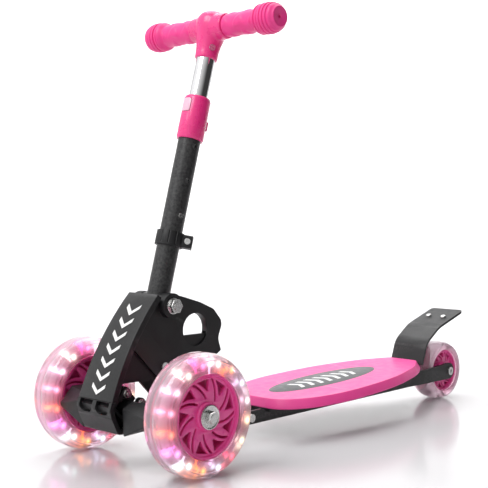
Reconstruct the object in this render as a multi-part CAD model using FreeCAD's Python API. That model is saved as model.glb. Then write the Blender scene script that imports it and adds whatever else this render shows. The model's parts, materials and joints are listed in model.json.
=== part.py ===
import FreeCAD, Part
import math
import os

# Child's three-wheel kick scooter, in millimetres.
# +Z is up, the front faces -Y, and +X is the rider's left.  While it is being modelled,
# Y = 0 is at the front axle; save() then moves every piece so that the origin lies on the
# ground under the middle of the scooter's length.

# ---- driving dimensions -------------------------------------------------------------
FRONT_WHEEL_R = 72.5          # front wheel, outer radius
FRONT_TYRE_W = 40.0           # front tyre, overall width
FRONT_RIM_R = 49.0            # pink hub, outer radius
TRACK = 214.0                 # between the front wheel centres
REAR_WHEEL_R = 46.5           # rear wheel, outer radius
REAR_TYRE_W = 38.0
REAR_RIM_R = 33.0
WHEELBASE = 631.0
RAKE = 15.2                   # stem leans back from the vertical, degrees
PIVOT_Y = 28.0                # fold pivot, behind the front axle
PIVOT_Z = 191.0               # fold pivot, above the ground
GRIP_HEIGHT = 363.0           # fold pivot to handlebar axis, along the stem
LOWER_TUBE_R = 14.3           # black lower stem tube
LOWER_TUBE_BORE = 12.8
UPPER_TUBE_R = 12.2           # chrome upper stem tube
UPPER_TUBE_BORE = 10.8
DECK_SLOPE = 0.05             # deck rises towards the rear by this much per millimetre
DECK_TOP_Z = 62.2             # top of the pad at DECK_REF_Y
DECK_REF_Y = 338.0
PAD_THICK = 13.0
PAD_FRONT_Y = 198.0
PAD_REAR_Y = 546.0
BOLT_R = 5.0                  # fold pivot bolt
AXLE_R = 4.0                  # all wheel axles and the king bolt
RUN_GAP = 0.05                # radial clearance of every running fit
GAP = 0.35                    # clearance between pieces that move past each other
LEAN_DEG = 45.57              # king bolt, below the horizontal towards the rear

# ---- worked-out places ---------------------------------------------------------------
X_AXIS = FreeCAD.Vector(1, 0, 0)
Z_AXIS = FreeCAD.Vector(0, 0, 1)
ORIGIN = FreeCAD.Vector(0, 0, 0)
MID_Y = (WHEELBASE + REAR_WHEEL_R - FRONT_WHEEL_R) / 2
WHEEL_X = TRACK / 2
PIVOT = FreeCAD.Vector(0, PIVOT_Y, PIVOT_Z)
REAR_AXLE = FreeCAD.Vector(0, WHEELBASE, REAR_WHEEL_R)


# ---- helpers -------------------------------------------------------------------------
def save(name, shape):
    """Write one node, moved to the part's own origin."""
    moved = shape.copy()
    moved.translate(FreeCAD.Vector(0, -MID_Y, 0))
    moved.exportStep(os.path.join("parts", name + ".step"))


def group(shapes):
    return Part.makeCompound(shapes)


def box(x0, x1, y0, y1, z0, z1):
    return Part.makeBox(x1 - x0, y1 - y0, z1 - z0, FreeCAD.Vector(x0, y0, z0))


def rod_x(x0, x1, y, z, radius):
    """A round bar along X."""
    return Part.makeCylinder(radius, x1 - x0, FreeCAD.Vector(x0, y, z), X_AXIS)


def ring_x(x0, x1, y, z, outer, inner):
    """A washer, bush or tube along X."""
    return rod_x(x0, x1, y, z, outer).cut(rod_x(x0 - 1, x1 + 1, y, z, inner))


def rod_z(radius, z0, z1, x=0, y=0):
    return Part.makeCylinder(radius, z1 - z0, FreeCAD.Vector(x, y, z0), Z_AXIS)


def hex_x(x0, x1, y, z, across_flats):
    """A hexagonal nut or bolt head along X."""
    radius = across_flats / math.sqrt(3)
    corners = [FreeCAD.Vector(x0, y + radius * math.cos(math.radians(60 * i)),
                              z + radius * math.sin(math.radians(60 * i))) for i in range(7)]
    return Part.Face(Part.makePolygon(corners)).extrude(FreeCAD.Vector(x1 - x0, 0, 0))


def rounded_wire(points, radius):
    """A closed outline with each corner rounded: radius is one number or one per corner."""
    count = len(points)
    radii = radius if isinstance(radius, (list, tuple)) else [radius] * count
    edges = []
    first = None
    last = None
    for i, corner in enumerate(points):
        before = points[i - 1] - corner
        after = points[(i + 1) % count] - corner
        before.normalize()
        after.normalize()
        half = before.getAngle(after) / 2
        if radii[i] <= 0:
            start, end = corner, corner
        else:
            reach = radii[i] / math.tan(half)
            start = corner + before * reach
            end = corner + after * reach
            bisector = before + after
            bisector.normalize()
            crown = corner + bisector * (radii[i] / math.sin(half) - radii[i])
        if last is not None and last.distanceToPoint(start) > 1e-6:
            edges.append(Part.LineSegment(last, start).toShape())
        if radii[i] > 0:
            edges.append(Part.Arc(start, crown, end).toShape())
        if first is None:
            first = start
        last = end
    if last.distanceToPoint(first) > 1e-6:
        edges.append(Part.LineSegment(last, first).toShape())
    return Part.Wire(edges)


def soft_radii(points, share=0.49):
    """Corner radii as large as fit, so that an outline of a few points reads as one soft curve."""
    count = len(points)
    radii = []
    for i in range(count):
        a, b, c = points[i - 1], points[i], points[(i + 1) % count]
        before = math.hypot(a[0] - b[0], a[1] - b[1])
        after = math.hypot(c[0] - b[0], c[1] - b[1])
        dot = ((a[0] - b[0]) * (c[0] - b[0]) + (a[1] - b[1]) * (c[1] - b[1])) / (before * after)
        half = math.acos(max(-1.0, min(1.0, dot))) / 2
        radii.append(share * min(before, after) * math.tan(half))
    return radii


def side_plate(points, x0, x1, radius=0):
    """A plate seen from the side: (y, z) points, pushed out from x0 to x1."""
    corners = [FreeCAD.Vector(x0, y, z) for y, z in points]
    return Part.Face(rounded_wire(corners, radius)).extrude(FreeCAD.Vector(x1 - x0, 0, 0))


def plan_plate(points, z0, z1, radius=0):
    """A plate seen from above: (x, y) points, pushed up from z0 to z1."""
    corners = [FreeCAD.Vector(x, y, z0) for x, y in points]
    return Part.Face(rounded_wire(corners, radius)).extrude(FreeCAD.Vector(0, 0, z1 - z0))


def turned(points, centre):
    """A body turned about an axis along X: (x, radius) points round the given centre."""
    corners = [centre + FreeCAD.Vector(x, 0, r) for x, r in points]
    face = Part.Face(Part.makePolygon(corners + [corners[0]]))
    return face.revolve(centre, X_AXIS, 360)


def on_stem(shape):
    """Move a piece from the stem's own frame: +Z up the tube, -Y the front, 0 at the pivot."""
    moved = shape.copy()
    moved.rotate(ORIGIN, X_AXIS, -RAKE)
    moved.translate(PIVOT)
    return moved


def mirrored(shape):
    return shape.mirror(ORIGIN, X_AXIS)


# ---- deck ----------------------------------------------------------------------------
PAD_HALF = 86.0               # widest half width of the pad
PAD_SLANT = 4.5               # the pad's sides lean in by this much towards the top
PAD_FOOT = 1.5                # height of the small bevel round the pad's underside
PAD_TAIL_R = 7.0              # corners of the pad's rear end
INLAY_THICK = 1.2
INLAY_Y0, INLAY_Y1 = 236.5, 458.5
INLAY_HALF = 34.0
TRAY_THICK = 4.0
TRAY_HALF = 62.0
TRAY_FRONT_Y = 199.0
RAIL_IN, RAIL_OUT = 22.0, 26.0
RAIL_FRONT_Y = 117.4
RAIL_BOTTOM = 24.0            # underside of the rails at their front end
NECK_Y0, NECK_Y1 = 96.0, 196.0
NECK_Z0, NECK_Z1 = 27.0, 43.4
NECK_BOLT_Y, NECK_BOLT_Z = 168.0, 34.0
SCREW_PLACES = [(-40, 250), (40, 250), (-40, 420), (40, 420)]
SCREW_R = 2.0


def tilt_to_deck(shape):
    """Tip a flat piece about the X line through DECK_REF_Y so that it follows the deck."""
    moved = shape.copy()
    moved.rotate(FreeCAD.Vector(0, DECK_REF_Y, DECK_TOP_Z), X_AXIS,
                 math.degrees(math.atan(DECK_SLOPE)))
    return moved


def deck_outline(inset):
    """Plan of the pad: blunt nose, widest ahead of the middle, narrower tail."""
    half = [(46, PAD_FRONT_Y), (74, 233), (PAD_HALF + 1.2, 286), (PAD_HALF + 1.2, 350),
            (80, 425), (56, 505), (29, PAD_REAR_Y)]
    centre_y = (PAD_FRONT_Y + PAD_REAR_Y) / 2
    scale_y = 1 - 2 * inset / (PAD_REAR_Y - PAD_FRONT_Y)
    left = [(x - inset, centre_y + (y - centre_y) * scale_y) for x, y in half]
    return left + [(-x, y) for x, y in reversed(left)]


def deck_pad():
    sections = []
    bottom = DECK_TOP_Z - PAD_THICK
    for inset, z in ((1.2, bottom), (0, bottom + PAD_FOOT), (PAD_SLANT, DECK_TOP_Z)):
        outline = deck_outline(inset)
        corners = [FreeCAD.Vector(x, y, z) for x, y in outline]
        radii = [min(radius, PAD_TAIL_R) if corner.y > 530 else radius
                 for radius, corner in zip(soft_radii(outline), corners)]
        sections.append(rounded_wire(corners, radii))
    lower = Part.makeLoft(sections[:2], True, True)
    upper = Part.makeLoft(sections[1:], True, True)
    pad = tilt_to_deck(lower.fuse(upper).removeSplitter().cut(inlay_body(0.0)))
    for x, y in SCREW_PLACES:
        pad = pad.cut(rod_z(SCREW_R + 0.05, 0, screw_tip(y) + 1, x, y))
    return pad


def screw_tip(y):
    """Height of the end of a pad screw, inside the pad."""
    return DECK_TOP_Z - PAD_THICK + 7 + DECK_SLOPE * (y - DECK_REF_Y)


def inlay_body(grow):
    """The oval label let into the pad."""
    mid = (INLAY_Y0 + INLAY_Y1) / 2
    long_r = (INLAY_Y1 - INLAY_Y0) / 2 + grow
    oval = Part.Ellipse(FreeCAD.Vector(0, mid, DECK_TOP_Z - INLAY_THICK), long_r, INLAY_HALF + grow)
    shape = Part.Face(Part.Wire(oval.toShape())).extrude(FreeCAD.Vector(0, 0, INLAY_THICK))
    shape.rotate(FreeCAD.Vector(0, mid, 0), Z_AXIS, 90)
    return shape


def deck_inlay():
    return tilt_to_deck(inlay_body(-0.05))


def deck_frame():
    """Steel tray under the pad, with a box neck in front and two ears for the brake behind."""
    top = DECK_TOP_Z - PAD_THICK
    plan = [(30, TRAY_FRONT_Y), (TRAY_HALF, 236), (TRAY_HALF, 430), (42, 512), (RAIL_IN, 541),
            (-RAIL_IN, 541), (-42, 512), (-TRAY_HALF, 430), (-TRAY_HALF, 236), (-30, TRAY_FRONT_Y)]
    tray = tilt_to_deck(plan_plate(plan, top - TRAY_THICK, top, 8))
    neck = box(-RAIL_IN, RAIL_IN, NECK_Y0, NECK_Y1 + 20, NECK_Z0, tray_under(NECK_Y1) + 1)
    neck = neck.cut(box(-RAIL_IN + 3, RAIL_IN - 3, NECK_Y0 + 4, 300, NECK_Z0 - 1, NECK_Z1 - 3))
    cross = box(-RAIL_IN, RAIL_IN, 526, 534, tray_under(530) - 12, tray_under(530) + 1)
    body = tray.fuse([neck, cross])
    for x in (-1, 1):
        inner = x * 10.0
        outer = x * 13.0
        ear = box(min(inner, outer), max(inner, outer), 522, 556, tray_under(530) - 9, 62)
        ear = ear.fuse(rod_x(min(inner, outer), max(inner, outer), HINGE_Y, HINGE_Z, 5.5))
        body = body.fuse(ear.cut(box(-20, 20, 500, HINGE_Y - 1, tray_under(530) + 3.5, 80)))
    body = body.cut(rod_x(-40, 40, HINGE_Y, HINGE_Z, PIN_R))
    body = body.cut(rod_x(-40, 40, NECK_BOLT_Y, NECK_BOLT_Z, 3.0))
    for x, y in SCREW_PLACES:
        body = body.cut(rod_z(SCREW_R + 0.05, 0, 90, x, y))
    return body.removeSplitter()


def tray_under(y):
    """Underside of the tray at a place along the deck."""
    return DECK_TOP_Z - PAD_THICK - TRAY_THICK + DECK_SLOPE * (y - DECK_REF_Y) - 0.02


def deck_screws():
    """Pan-head screws that hold the pad from below."""
    screws = []
    for x, y in SCREW_PLACES:
        under = tray_under(y)
        head = rod_z(4.0, under - 2.6, under - 0.25, x, y)
        shank = rod_z(SCREW_R, under - 0.25, screw_tip(y), x, y)
        screws.append(head.fuse(shank))
    return group(screws)


def neck_bolt():
    """Bolt through the neck and both rails."""
    shank = rod_x(-RAIL_OUT - 6, RAIL_OUT, NECK_BOLT_Y, NECK_BOLT_Z, 2.95)
    head = rod_x(RAIL_OUT, RAIL_OUT + 4, NECK_BOLT_Y, NECK_BOLT_Z, 5.5)
    nut = hex_x(-RAIL_OUT - 5, -RAIL_OUT, NECK_BOLT_Y, NECK_BOLT_Z, 10)
    return shank.fuse([head, nut])


# ---- rear fork, wheel and brake ------------------------------------------------------
REAR_HUB_HALF = 16.0
REAR_BOSS_R = 13.0
HINGE_Y, HINGE_Z = 552.0, 62.5
PIN_R = 2.5
BRAKE_HALF = 30.0
BRAKE_THICK = 3.6
BRAKE_BEND_Y, BRAKE_BEND_Z = 596.0, 122.0       # where the straight tip begins
BRAKE_TIP_Y, BRAKE_TIP_Z = 664.0, 143.5         # free end of the plate
BRAKE_TIP_R = 6.0                               # its two corners
TIP_SLOPE = (BRAKE_TIP_Z - BRAKE_BEND_Z) / (BRAKE_TIP_Y - BRAKE_BEND_Y)
TIP_ANGLE = math.degrees(math.atan(TIP_SLOPE))
TIP_Y = 631.0                                   # brake screws, on top of the plate
TIP_Z = BRAKE_BEND_Z + TIP_SLOPE * (TIP_Y - BRAKE_BEND_Y)


def rail():
    """Long side rail: under the deck it follows the tray, behind it is the fork arm."""
    y, z = REAR_AXLE.y, REAR_AXLE.z
    arm = side_plate([(RAIL_FRONT_Y, RAIL_BOTTOM), (520, 33), (560, 33), (y, z - REAR_BOSS_R),
                      (y, z + REAR_BOSS_R), (566, 54.5), (538, tray_under(538) - 0.1),
                      (TRAY_FRONT_Y + 1, tray_under(TRAY_FRONT_Y + 1) - 0.1), (NECK_Y1 - 6, NECK_Z1),
                      (RAIL_FRONT_Y, 40.6)],
                     RAIL_IN, RAIL_OUT, [1, 60, 30, 0, 0, 50, 3, 1, 8, 0])
    arm = arm.fuse(rod_x(RAIL_IN, RAIL_OUT, y, z, REAR_BOSS_R))
    arm = arm.cut(rod_x(RAIL_IN - 1, RAIL_OUT + 1, y, z, AXLE_R))
    return arm.cut(rod_x(RAIL_IN - 1, RAIL_OUT + 1, NECK_BOLT_Y, NECK_BOLT_Z, 3.0)).removeSplitter()


def rear_axle_bolt():
    y, z = REAR_AXLE.y, REAR_AXLE.z
    shank = rod_x(-RAIL_OUT - 6, RAIL_OUT, y, z, AXLE_R - 0.02)
    head = rod_x(RAIL_OUT, RAIL_OUT + 3.5, y, z, 6.5)
    socket = hex_x(RAIL_OUT + 1.2, RAIL_OUT + 4, y, z, 5)
    return shank.fuse(head).cut(socket)


def rear_axle_nut():
    y, z = REAR_AXLE.y, REAR_AXLE.z
    return hex_x(-RAIL_OUT - 5.5, -RAIL_OUT, y, z, 13).cut(rod_x(-40, 0, y, z, AXLE_R))


def rear_spacers():
    """Tubes that keep the rear hub in the middle of the fork."""
    y, z = REAR_AXLE.y, REAR_AXLE.z
    inner = REAR_HUB_HALF + GAP
    return group([ring_x(inner, RAIL_IN - 0.02, y, z, 7.5, AXLE_R),
                  ring_x(-RAIL_IN + 0.02, -inner, y, z, 7.5, AXLE_R)])


def brake_curve(inset):
    """Side outline of the brake, as points and corner radii, moved inwards by inset."""
    return [(548.5 + inset * 0.93, 64.0 - inset * 0.2), (561 + inset * 0.78, 99 - inset * 0.6),
            (BRAKE_BEND_Y + inset * 0.4, BRAKE_BEND_Z - inset * 0.95),
            (BRAKE_TIP_Y, BRAKE_TIP_Z - inset / math.cos(math.radians(TIP_ANGLE)))]


def brake_shell(x0, x1, near, far):
    top = brake_curve(near)
    under = brake_curve(far)[::-1]
    return side_plate(top + under, x0, x1, [0, 34, 60, 0, 0, 60, 34, 0])


def brake_plate():
    """Pressed steel foot brake: a curved plate with two hinge eyes at its foot."""
    shell = brake_shell(-BRAKE_HALF, BRAKE_HALF, 0, BRAKE_THICK)
    shell = shell.cut(round_tips())
    eyes = []
    for x0, x1 in ((13.4, 19.4), (-19.4, -13.4)):
        eye = rod_x(x0, x1, HINGE_Y, HINGE_Z, 5.0)
        web = side_plate([(548.6, 64.2), (552, 72), (556, 72), (556, 64)], x0, x1)
        eyes.append(eye.fuse(web))
    shell = shell.fuse(eyes)
    notch = box(-13.4, 13.4, HINGE_Y - 12, HINGE_Y + 12, HINGE_Z - 12, HINGE_Z + 8.2)
    shell = shell.cut(notch)
    shell = shell.cut(rod_x(-40, 40, HINGE_Y, HINGE_Z, PIN_R + RUN_GAP))
    for x in (-14, 14):
        shell = shell.cut(brake_bar(x, 2.5, -20, 10))
    return shell.removeSplitter()


def round_tips():
    """Waste at the two corners of the brake's free end."""
    radius = BRAKE_TIP_R
    waste = []
    for side in (1, -1):
        centre_x = side * (BRAKE_HALF - radius)
        outer_x = side * (BRAKE_HALF + 2)
        corner = box(min(centre_x, outer_x), max(centre_x, outer_x), BRAKE_TIP_Y - radius, BRAKE_TIP_Y + 9, 100, 170)
        waste.append(corner.cut(rod_z(radius, 90, 180, centre_x, BRAKE_TIP_Y - radius)))
    return group(waste)


def brake_bar(x, radius, low, high):
    """A round bar square to the brake's tip, from low to high, 0 at the plate's top face."""
    normal = FreeCAD.Vector(0, -math.sin(math.radians(TIP_ANGLE)), math.cos(math.radians(TIP_ANGLE)))
    start = FreeCAD.Vector(x, TIP_Y, TIP_Z) + normal * low
    return Part.makeCylinder(radius, high - low, start, normal)


def brake_shoe():
    """Rubbing block under the tip of the brake."""
    shoe = box(-17, 17, -12, 12, -BRAKE_THICK - 8.3, -BRAKE_THICK - 0.4)
    shoe.rotate(ORIGIN, X_AXIS, TIP_ANGLE)
    shoe.translate(FreeCAD.Vector(0, TIP_Y, TIP_Z))
    for x in (-14, 14):
        shoe = shoe.cut(brake_bar(x, SCREW_R + 0.02, -20, 10))
    return shoe


def brake_screws():
    screws = []
    for x in (-14, 14):
        dome = brake_bar(x, 4.6, 0.05, 3.2)
        dome = dome.makeFillet(2.0, [max(dome.Edges, key=lambda edge: edge.BoundBox.Center.z)])
        screws.append(brake_bar(x, SCREW_R, -BRAKE_THICK - 7, 0.5).fuse(dome))
    return group(screws)


def brake_pin():
    return rod_x(-20.5, 20.5, HINGE_Y, HINGE_Z, PIN_R - 0.02)


def brake_spring():
    """Coil spring round the hinge pin, between the deck's two ears."""
    coils = 7
    wire = 0.8
    pitch = 2.6
    rings = []
    for i in range(coils):
        x = (i - (coils - 1) / 2) * pitch
        rings.append(Part.makeTorus(3.9, wire, FreeCAD.Vector(x, HINGE_Y, HINGE_Z), X_AXIS))
    return group(rings)


# ---- wheels --------------------------------------------------------------------------
def hub(half_width, rim_r, core_r, spokes, centre):
    """Moulded wheel hub: rim, core and a ring of spokes round a bearing seat."""
    rim = turned([(-half_width, rim_r), (half_width, rim_r), (half_width, rim_r - 4), (3, rim_r - 6),
                  (-3, rim_r - 6), (-half_width, rim_r - 4)], centre)
    core = turned([(-half_width, 11.0), (half_width, 11.0), (half_width, core_r), (-half_width, core_r)], centre)
    bodies = [core]
    spoke_w = 3.0
    for i in range(spokes):
        spoke = box(-half_width + 3, half_width - 3, -spoke_w / 2, spoke_w / 2, core_r - 1, rim_r - 4.5)
        spoke.rotate(ORIGIN, X_AXIS, 360.0 * i / spokes)
        spoke.translate(centre)
        bodies.append(spoke)
    web = turned([(-1.5, core_r - 1), (1.5, core_r - 1), (1.5, rim_r - 5), (-1.5, rim_r - 5)], centre)
    bodies.append(web)
    seat_stop = turned([(-half_width + 7.3, 9.5), (half_width - 7.3, 9.5), (half_width - 7.3, 11.2),
                        (-half_width + 7.3, 11.2)], centre)
    bodies.append(seat_stop)
    return rim.fuse(bodies).removeSplitter()


def tyre(half_width, outer, inner, centre):
    """Clear tyre with a crowned tread; an open channel inside leaves room for the lights."""
    shoulder = outer - 0.14 * outer
    outline = [(-half_width + 3, inner), (-half_width, inner + 4), (-half_width, shoulder),
               (-half_width * 0.72, outer - 2.5), (-half_width * 0.35, outer), (half_width * 0.35, outer),
               (half_width * 0.72, outer - 2.5), (half_width, shoulder), (half_width, inner + 4),
               (half_width - 3, inner)]
    return turned(outline, centre)


LED_COUNT = 16
CHANNEL_HALF = 4.5
LED_R = 62.0


def front_tyre(centre):
    body = tyre(FRONT_TYRE_W / 2, FRONT_WHEEL_R, FRONT_RIM_R + 0.02, centre)
    channel = turned([(-CHANNEL_HALF, FRONT_RIM_R - 1), (CHANNEL_HALF, FRONT_RIM_R - 1),
                      (CHANNEL_HALF, LED_R + 3.5), (-CHANNEL_HALF, LED_R + 3.5)], centre)
    return body.cut(channel)


def light_ring(centre):
    """Ring of lamps inside the clear tyre, fed by a coil in the hub."""
    ring = turned([(-3.5, FRONT_RIM_R + 0.1), (3.5, FRONT_RIM_R + 0.1), (3.5, FRONT_RIM_R + 2.6),
                   (-3.5, FRONT_RIM_R + 2.6)], centre)
    lamps = []
    for i in range(LED_COUNT):
        post = box(-1, 1, -1, 1, FRONT_RIM_R + 2, LED_R - 2)
        lamp = Part.makeSphere(2.8, FreeCAD.Vector(0, 0, LED_R - 1))
        piece = post.fuse(lamp)
        piece.rotate(ORIGIN, X_AXIS, 360.0 * (i + 0.5) / LED_COUNT)
        piece.translate(centre)
        lamps.append(piece)
    return ring.fuse(lamps)


def bearings(half_width, centre):
    """Two ball bearings in the hub's ends, drawn as plain rings on the axle."""
    return group([ring_x(centre.x + side * (half_width - 3.65) - 3.5, centre.x + side * (half_width - 3.65) + 3.5,
                         centre.y, centre.z, 11.0, AXLE_R + RUN_GAP) for side in (1, -1)])


# ---- front bracket -------------------------------------------------------------------
PANEL_TOP = (7.0, 206.0)
PANEL_LOW = (-67.0, 85.0)
PANEL_BOW = 341.0
PANEL_THICK = 3.0
CHEEK_IN, CHEEK_OUT = 19.5, 22.0
BRACE_IN, BRACE_OUT = 22.02, 26.0
BRACE_SUM_LOW, BRACE_SUM_HIGH = 114.0, 154.0     # y + z along the braces' lower and upper edges


def panel_profile(inset):
    """Centre and radius of the bowed panel, and its end points, moved inwards by inset."""
    y0, z0 = PANEL_TOP
    y1, z1 = PANEL_LOW
    mid_y, mid_z = (y0 + y1) / 2, (z0 + z1) / 2
    half = math.hypot(y0 - y1, z0 - z1) / 2
    along_y, along_z = (y0 - y1) / (2 * half), (z0 - z1) / (2 * half)
    back = math.sqrt(PANEL_BOW ** 2 - half ** 2)
    centre_y = mid_y + along_z * back
    centre_z = mid_z - along_y * back
    radius = PANEL_BOW - inset
    ends = [math.atan2(z - centre_z, y - centre_y) for y, z in (PANEL_TOP, PANEL_LOW)]
    angles = (ends[0], (ends[0] + ends[1] + (2 * math.pi if ends[1] < 0 else 0)) / 2, ends[1])
    return [FreeCAD.Vector(0, centre_y + radius * math.cos(a), centre_z + radius * math.sin(a)) for a in angles]


def panel_band(outer, inner, x0, x1):
    a, b, c = panel_profile(outer)
    d, e, f = panel_profile(inner)
    edges = [Part.Arc(a, b, c).toShape(), Part.LineSegment(c, f).toShape(),
             Part.Arc(f, e, d).toShape(), Part.LineSegment(d, a).toShape()]
    face = Part.Face(Part.Wire(edges))
    face.translate(FreeCAD.Vector(x0, 0, 0))
    return face.extrude(FreeCAD.Vector(x1 - x0, 0, 0))


PANEL_HALF_TOP, PANEL_HALF_LOW = 27.5, 32.0
MARK_COUNT = 7                # chevrons down the panel
MARK_TOP, MARK_PITCH = 193.0, 15.0
MARK_HALF, MARK_DROP, MARK_STROKE = 12.0, 8.0, 4.5


def front_panel():
    """Bowed front cover plate, wider at its foot, with short turned-in side lips."""
    shell = panel_band(0, 8.0, -PANEL_HALF_LOW, PANEL_HALF_LOW)
    shell = shell.cut(panel_band(PANEL_THICK, 10.0, -PANEL_HALF_LOW + 2, PANEL_HALF_LOW - 2))
    lip = panel_band(0, 8.0, -PANEL_HALF_LOW, PANEL_HALF_LOW)
    keep = Part.Face(Part.makePolygon([FreeCAD.Vector(x, -120, z) for x, z in (
        (-PANEL_HALF_LOW, 60), (PANEL_HALF_LOW, 60), (PANEL_HALF_LOW, PANEL_LOW[1]), (PANEL_HALF_TOP, PANEL_TOP[1]),
        (PANEL_HALF_TOP, 240), (-PANEL_HALF_TOP, 240), (-PANEL_HALF_TOP, PANEL_TOP[1]),
        (-PANEL_HALF_LOW, PANEL_LOW[1]), (-PANEL_HALF_LOW, 60))])).extrude(FreeCAD.Vector(0, 240, 0))
    plate = panel_band(0, PANEL_THICK, -PANEL_HALF_LOW, PANEL_HALF_LOW).common(keep)
    rails = lip.common(keep)
    core = panel_band(PANEL_THICK, 10.0, -PANEL_HALF_LOW, PANEL_HALF_LOW).common(inner_wedge())
    foot = box(-40, 40, -120, 60, 40, PANEL_LOW[1])
    return plate.fuse(rails.cut(core)).cut(foot).removeSplitter()


def inner_wedge():
    """The space between the panel's side lips."""
    lip = 2.2
    return Part.Face(Part.makePolygon([FreeCAD.Vector(x, -120, z) for x, z in (
        (-PANEL_HALF_LOW + lip, 60), (PANEL_HALF_LOW - lip, 60), (PANEL_HALF_LOW - lip, PANEL_LOW[1]),
        (PANEL_HALF_TOP - lip, PANEL_TOP[1]), (PANEL_HALF_TOP - lip, 240), (-PANEL_HALF_TOP + lip, 240),
        (-PANEL_HALF_TOP + lip, PANEL_TOP[1]), (-PANEL_HALF_LOW + lip, PANEL_LOW[1]),
        (-PANEL_HALF_LOW + lip, 60))])).extrude(FreeCAD.Vector(0, 240, 0))


def panel_marks():
    """Raised chevrons in a row down the middle of the panel."""
    marks = []
    skin = panel_band(-0.6, -0.02, -PANEL_HALF_LOW, PANEL_HALF_LOW)
    for i in range(MARK_COUNT):
        top = MARK_TOP - MARK_PITCH * i
        tip = top - MARK_DROP
        outline = [(-MARK_HALF, top), (0, tip), (MARK_HALF, top), (MARK_HALF, top - MARK_STROKE),
                   (0, tip - MARK_STROKE), (-MARK_HALF, top - MARK_STROKE)]
        corners = [FreeCAD.Vector(x, -120, h) for x, h in outline]
        chevron = Part.Face(Part.makePolygon(corners + [corners[0]])).extrude(FreeCAD.Vector(0, 240, 0))
        marks.append(skin.common(chevron))
    return group(marks)


# ---- cheeks, braces and cradle -------------------------------------------------------
BOSS_R = 15.5
BOSS_OUT = 31.0


def cheek():
    """Side wall behind the panel, with the boss that holds the fold pivot."""
    wall = side_plate([(2, 202), (22, 202), (38, 178), (50, 150), (53, 128), (46, 103), (-57, 103),
                       (-33, 150), (-12, 183)], CHEEK_IN, CHEEK_OUT, [0, 4, 20, 25, 20, 4, 2, 0, 0])
    wall = wall.cut(panel_band(-30, PANEL_THICK + 5.2, 0, 60))
    wall = wall.fuse(rod_x(CHEEK_IN, BOSS_OUT, PIVOT_Y, PIVOT_Z, BOSS_R))
    wall = wall.cut(rod_x(0, 60, PIVOT_Y, PIVOT_Z, BOLT_R))
    return wall.cut(rod_x(0, 60, BRACE_BOLT_Y, BRACE_BOLT_Z, BRACE_BOLT_R)).removeSplitter()


BRACE_BOLT_Y, BRACE_BOLT_Z, BRACE_BOLT_R = 18.0, 118.0, 3.0


def brace():
    """Flat bar from the panel's back down to the front of the deck."""
    low, high = BRACE_SUM_LOW, BRACE_SUM_HIGH
    front = side_plate([(low - 152, 152), (high - 172, 172), (high - 46, 46), (RAIL_FRONT_Y - 0.4, 38),
                        (RAIL_FRONT_Y - 0.4, RAIL_BOTTOM), (low - 26, RAIL_BOTTOM)],
                       BRACE_IN, BRACE_OUT, [0, 3, 8, 0, 0, 6])
    front = front.cut(panel_band(-30, PANEL_THICK + 5.2, 0, 60))
    return front.cut(rod_x(0, 60, BRACE_BOLT_Y, BRACE_BOLT_Z, BRACE_BOLT_R))


def brace_bolts():
    bolts = []
    for side in (1, -1):
        shank = rod_x(CHEEK_IN - 1.5, BRACE_OUT + 0.2, BRACE_BOLT_Y, BRACE_BOLT_Z, BRACE_BOLT_R - 0.02)
        head = rod_x(BRACE_OUT + 0.02, BRACE_OUT + 2.6, BRACE_BOLT_Y, BRACE_BOLT_Z, 5.0)
        bolt = shank.fuse(head)
        bolts.append(bolt if side > 0 else mirrored(bolt))
    return group(bolts)


CRADLE_HALF = 32.0
CRADLE_FLOOR = (46.0, 52.0)   # underside and top of the floor
SADDLE_HALF = 28.0            # inner plates that carry the king bolt
SADDLE_BACK = 6.5             # they reach this far behind it
SADDLE_THICK = 4.0
SADDLE_UP, SADDLE_DOWN = 13.0, -14.0   # inner faces of the two saddle plates along the king bolt
LEAN = math.radians(LEAN_DEG)
KING_CENTRE = FreeCAD.Vector(0, -34.3, 83.7)
KING_UP = FreeCAD.Vector(0, -math.cos(LEAN), math.sin(LEAN))
KING_BACK = FreeCAD.Vector(0, math.sin(LEAN), math.cos(LEAN))


def king_point(along, back):
    """(y, z) of a point: along the king bolt (up and forward) and square to it (up and back)."""
    point = KING_CENTRE + KING_UP * along + KING_BACK * back
    return point.y, point.z


def king_plate(along0, along1, back0, back1, half):
    """A block square to the king bolt."""
    corners = [king_point(along0, back0), king_point(along1, back0), king_point(along1, back1),
               king_point(along0, back1)]
    return side_plate(corners, -half, half)


def king_rod(radius, along0, along1, x=0, back=0):
    start = KING_CENTRE + KING_UP * along0 + KING_BACK * back + FreeCAD.Vector(x, 0, 0)
    return Part.makeCylinder(radius, along1 - along0, start, KING_UP)


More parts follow.
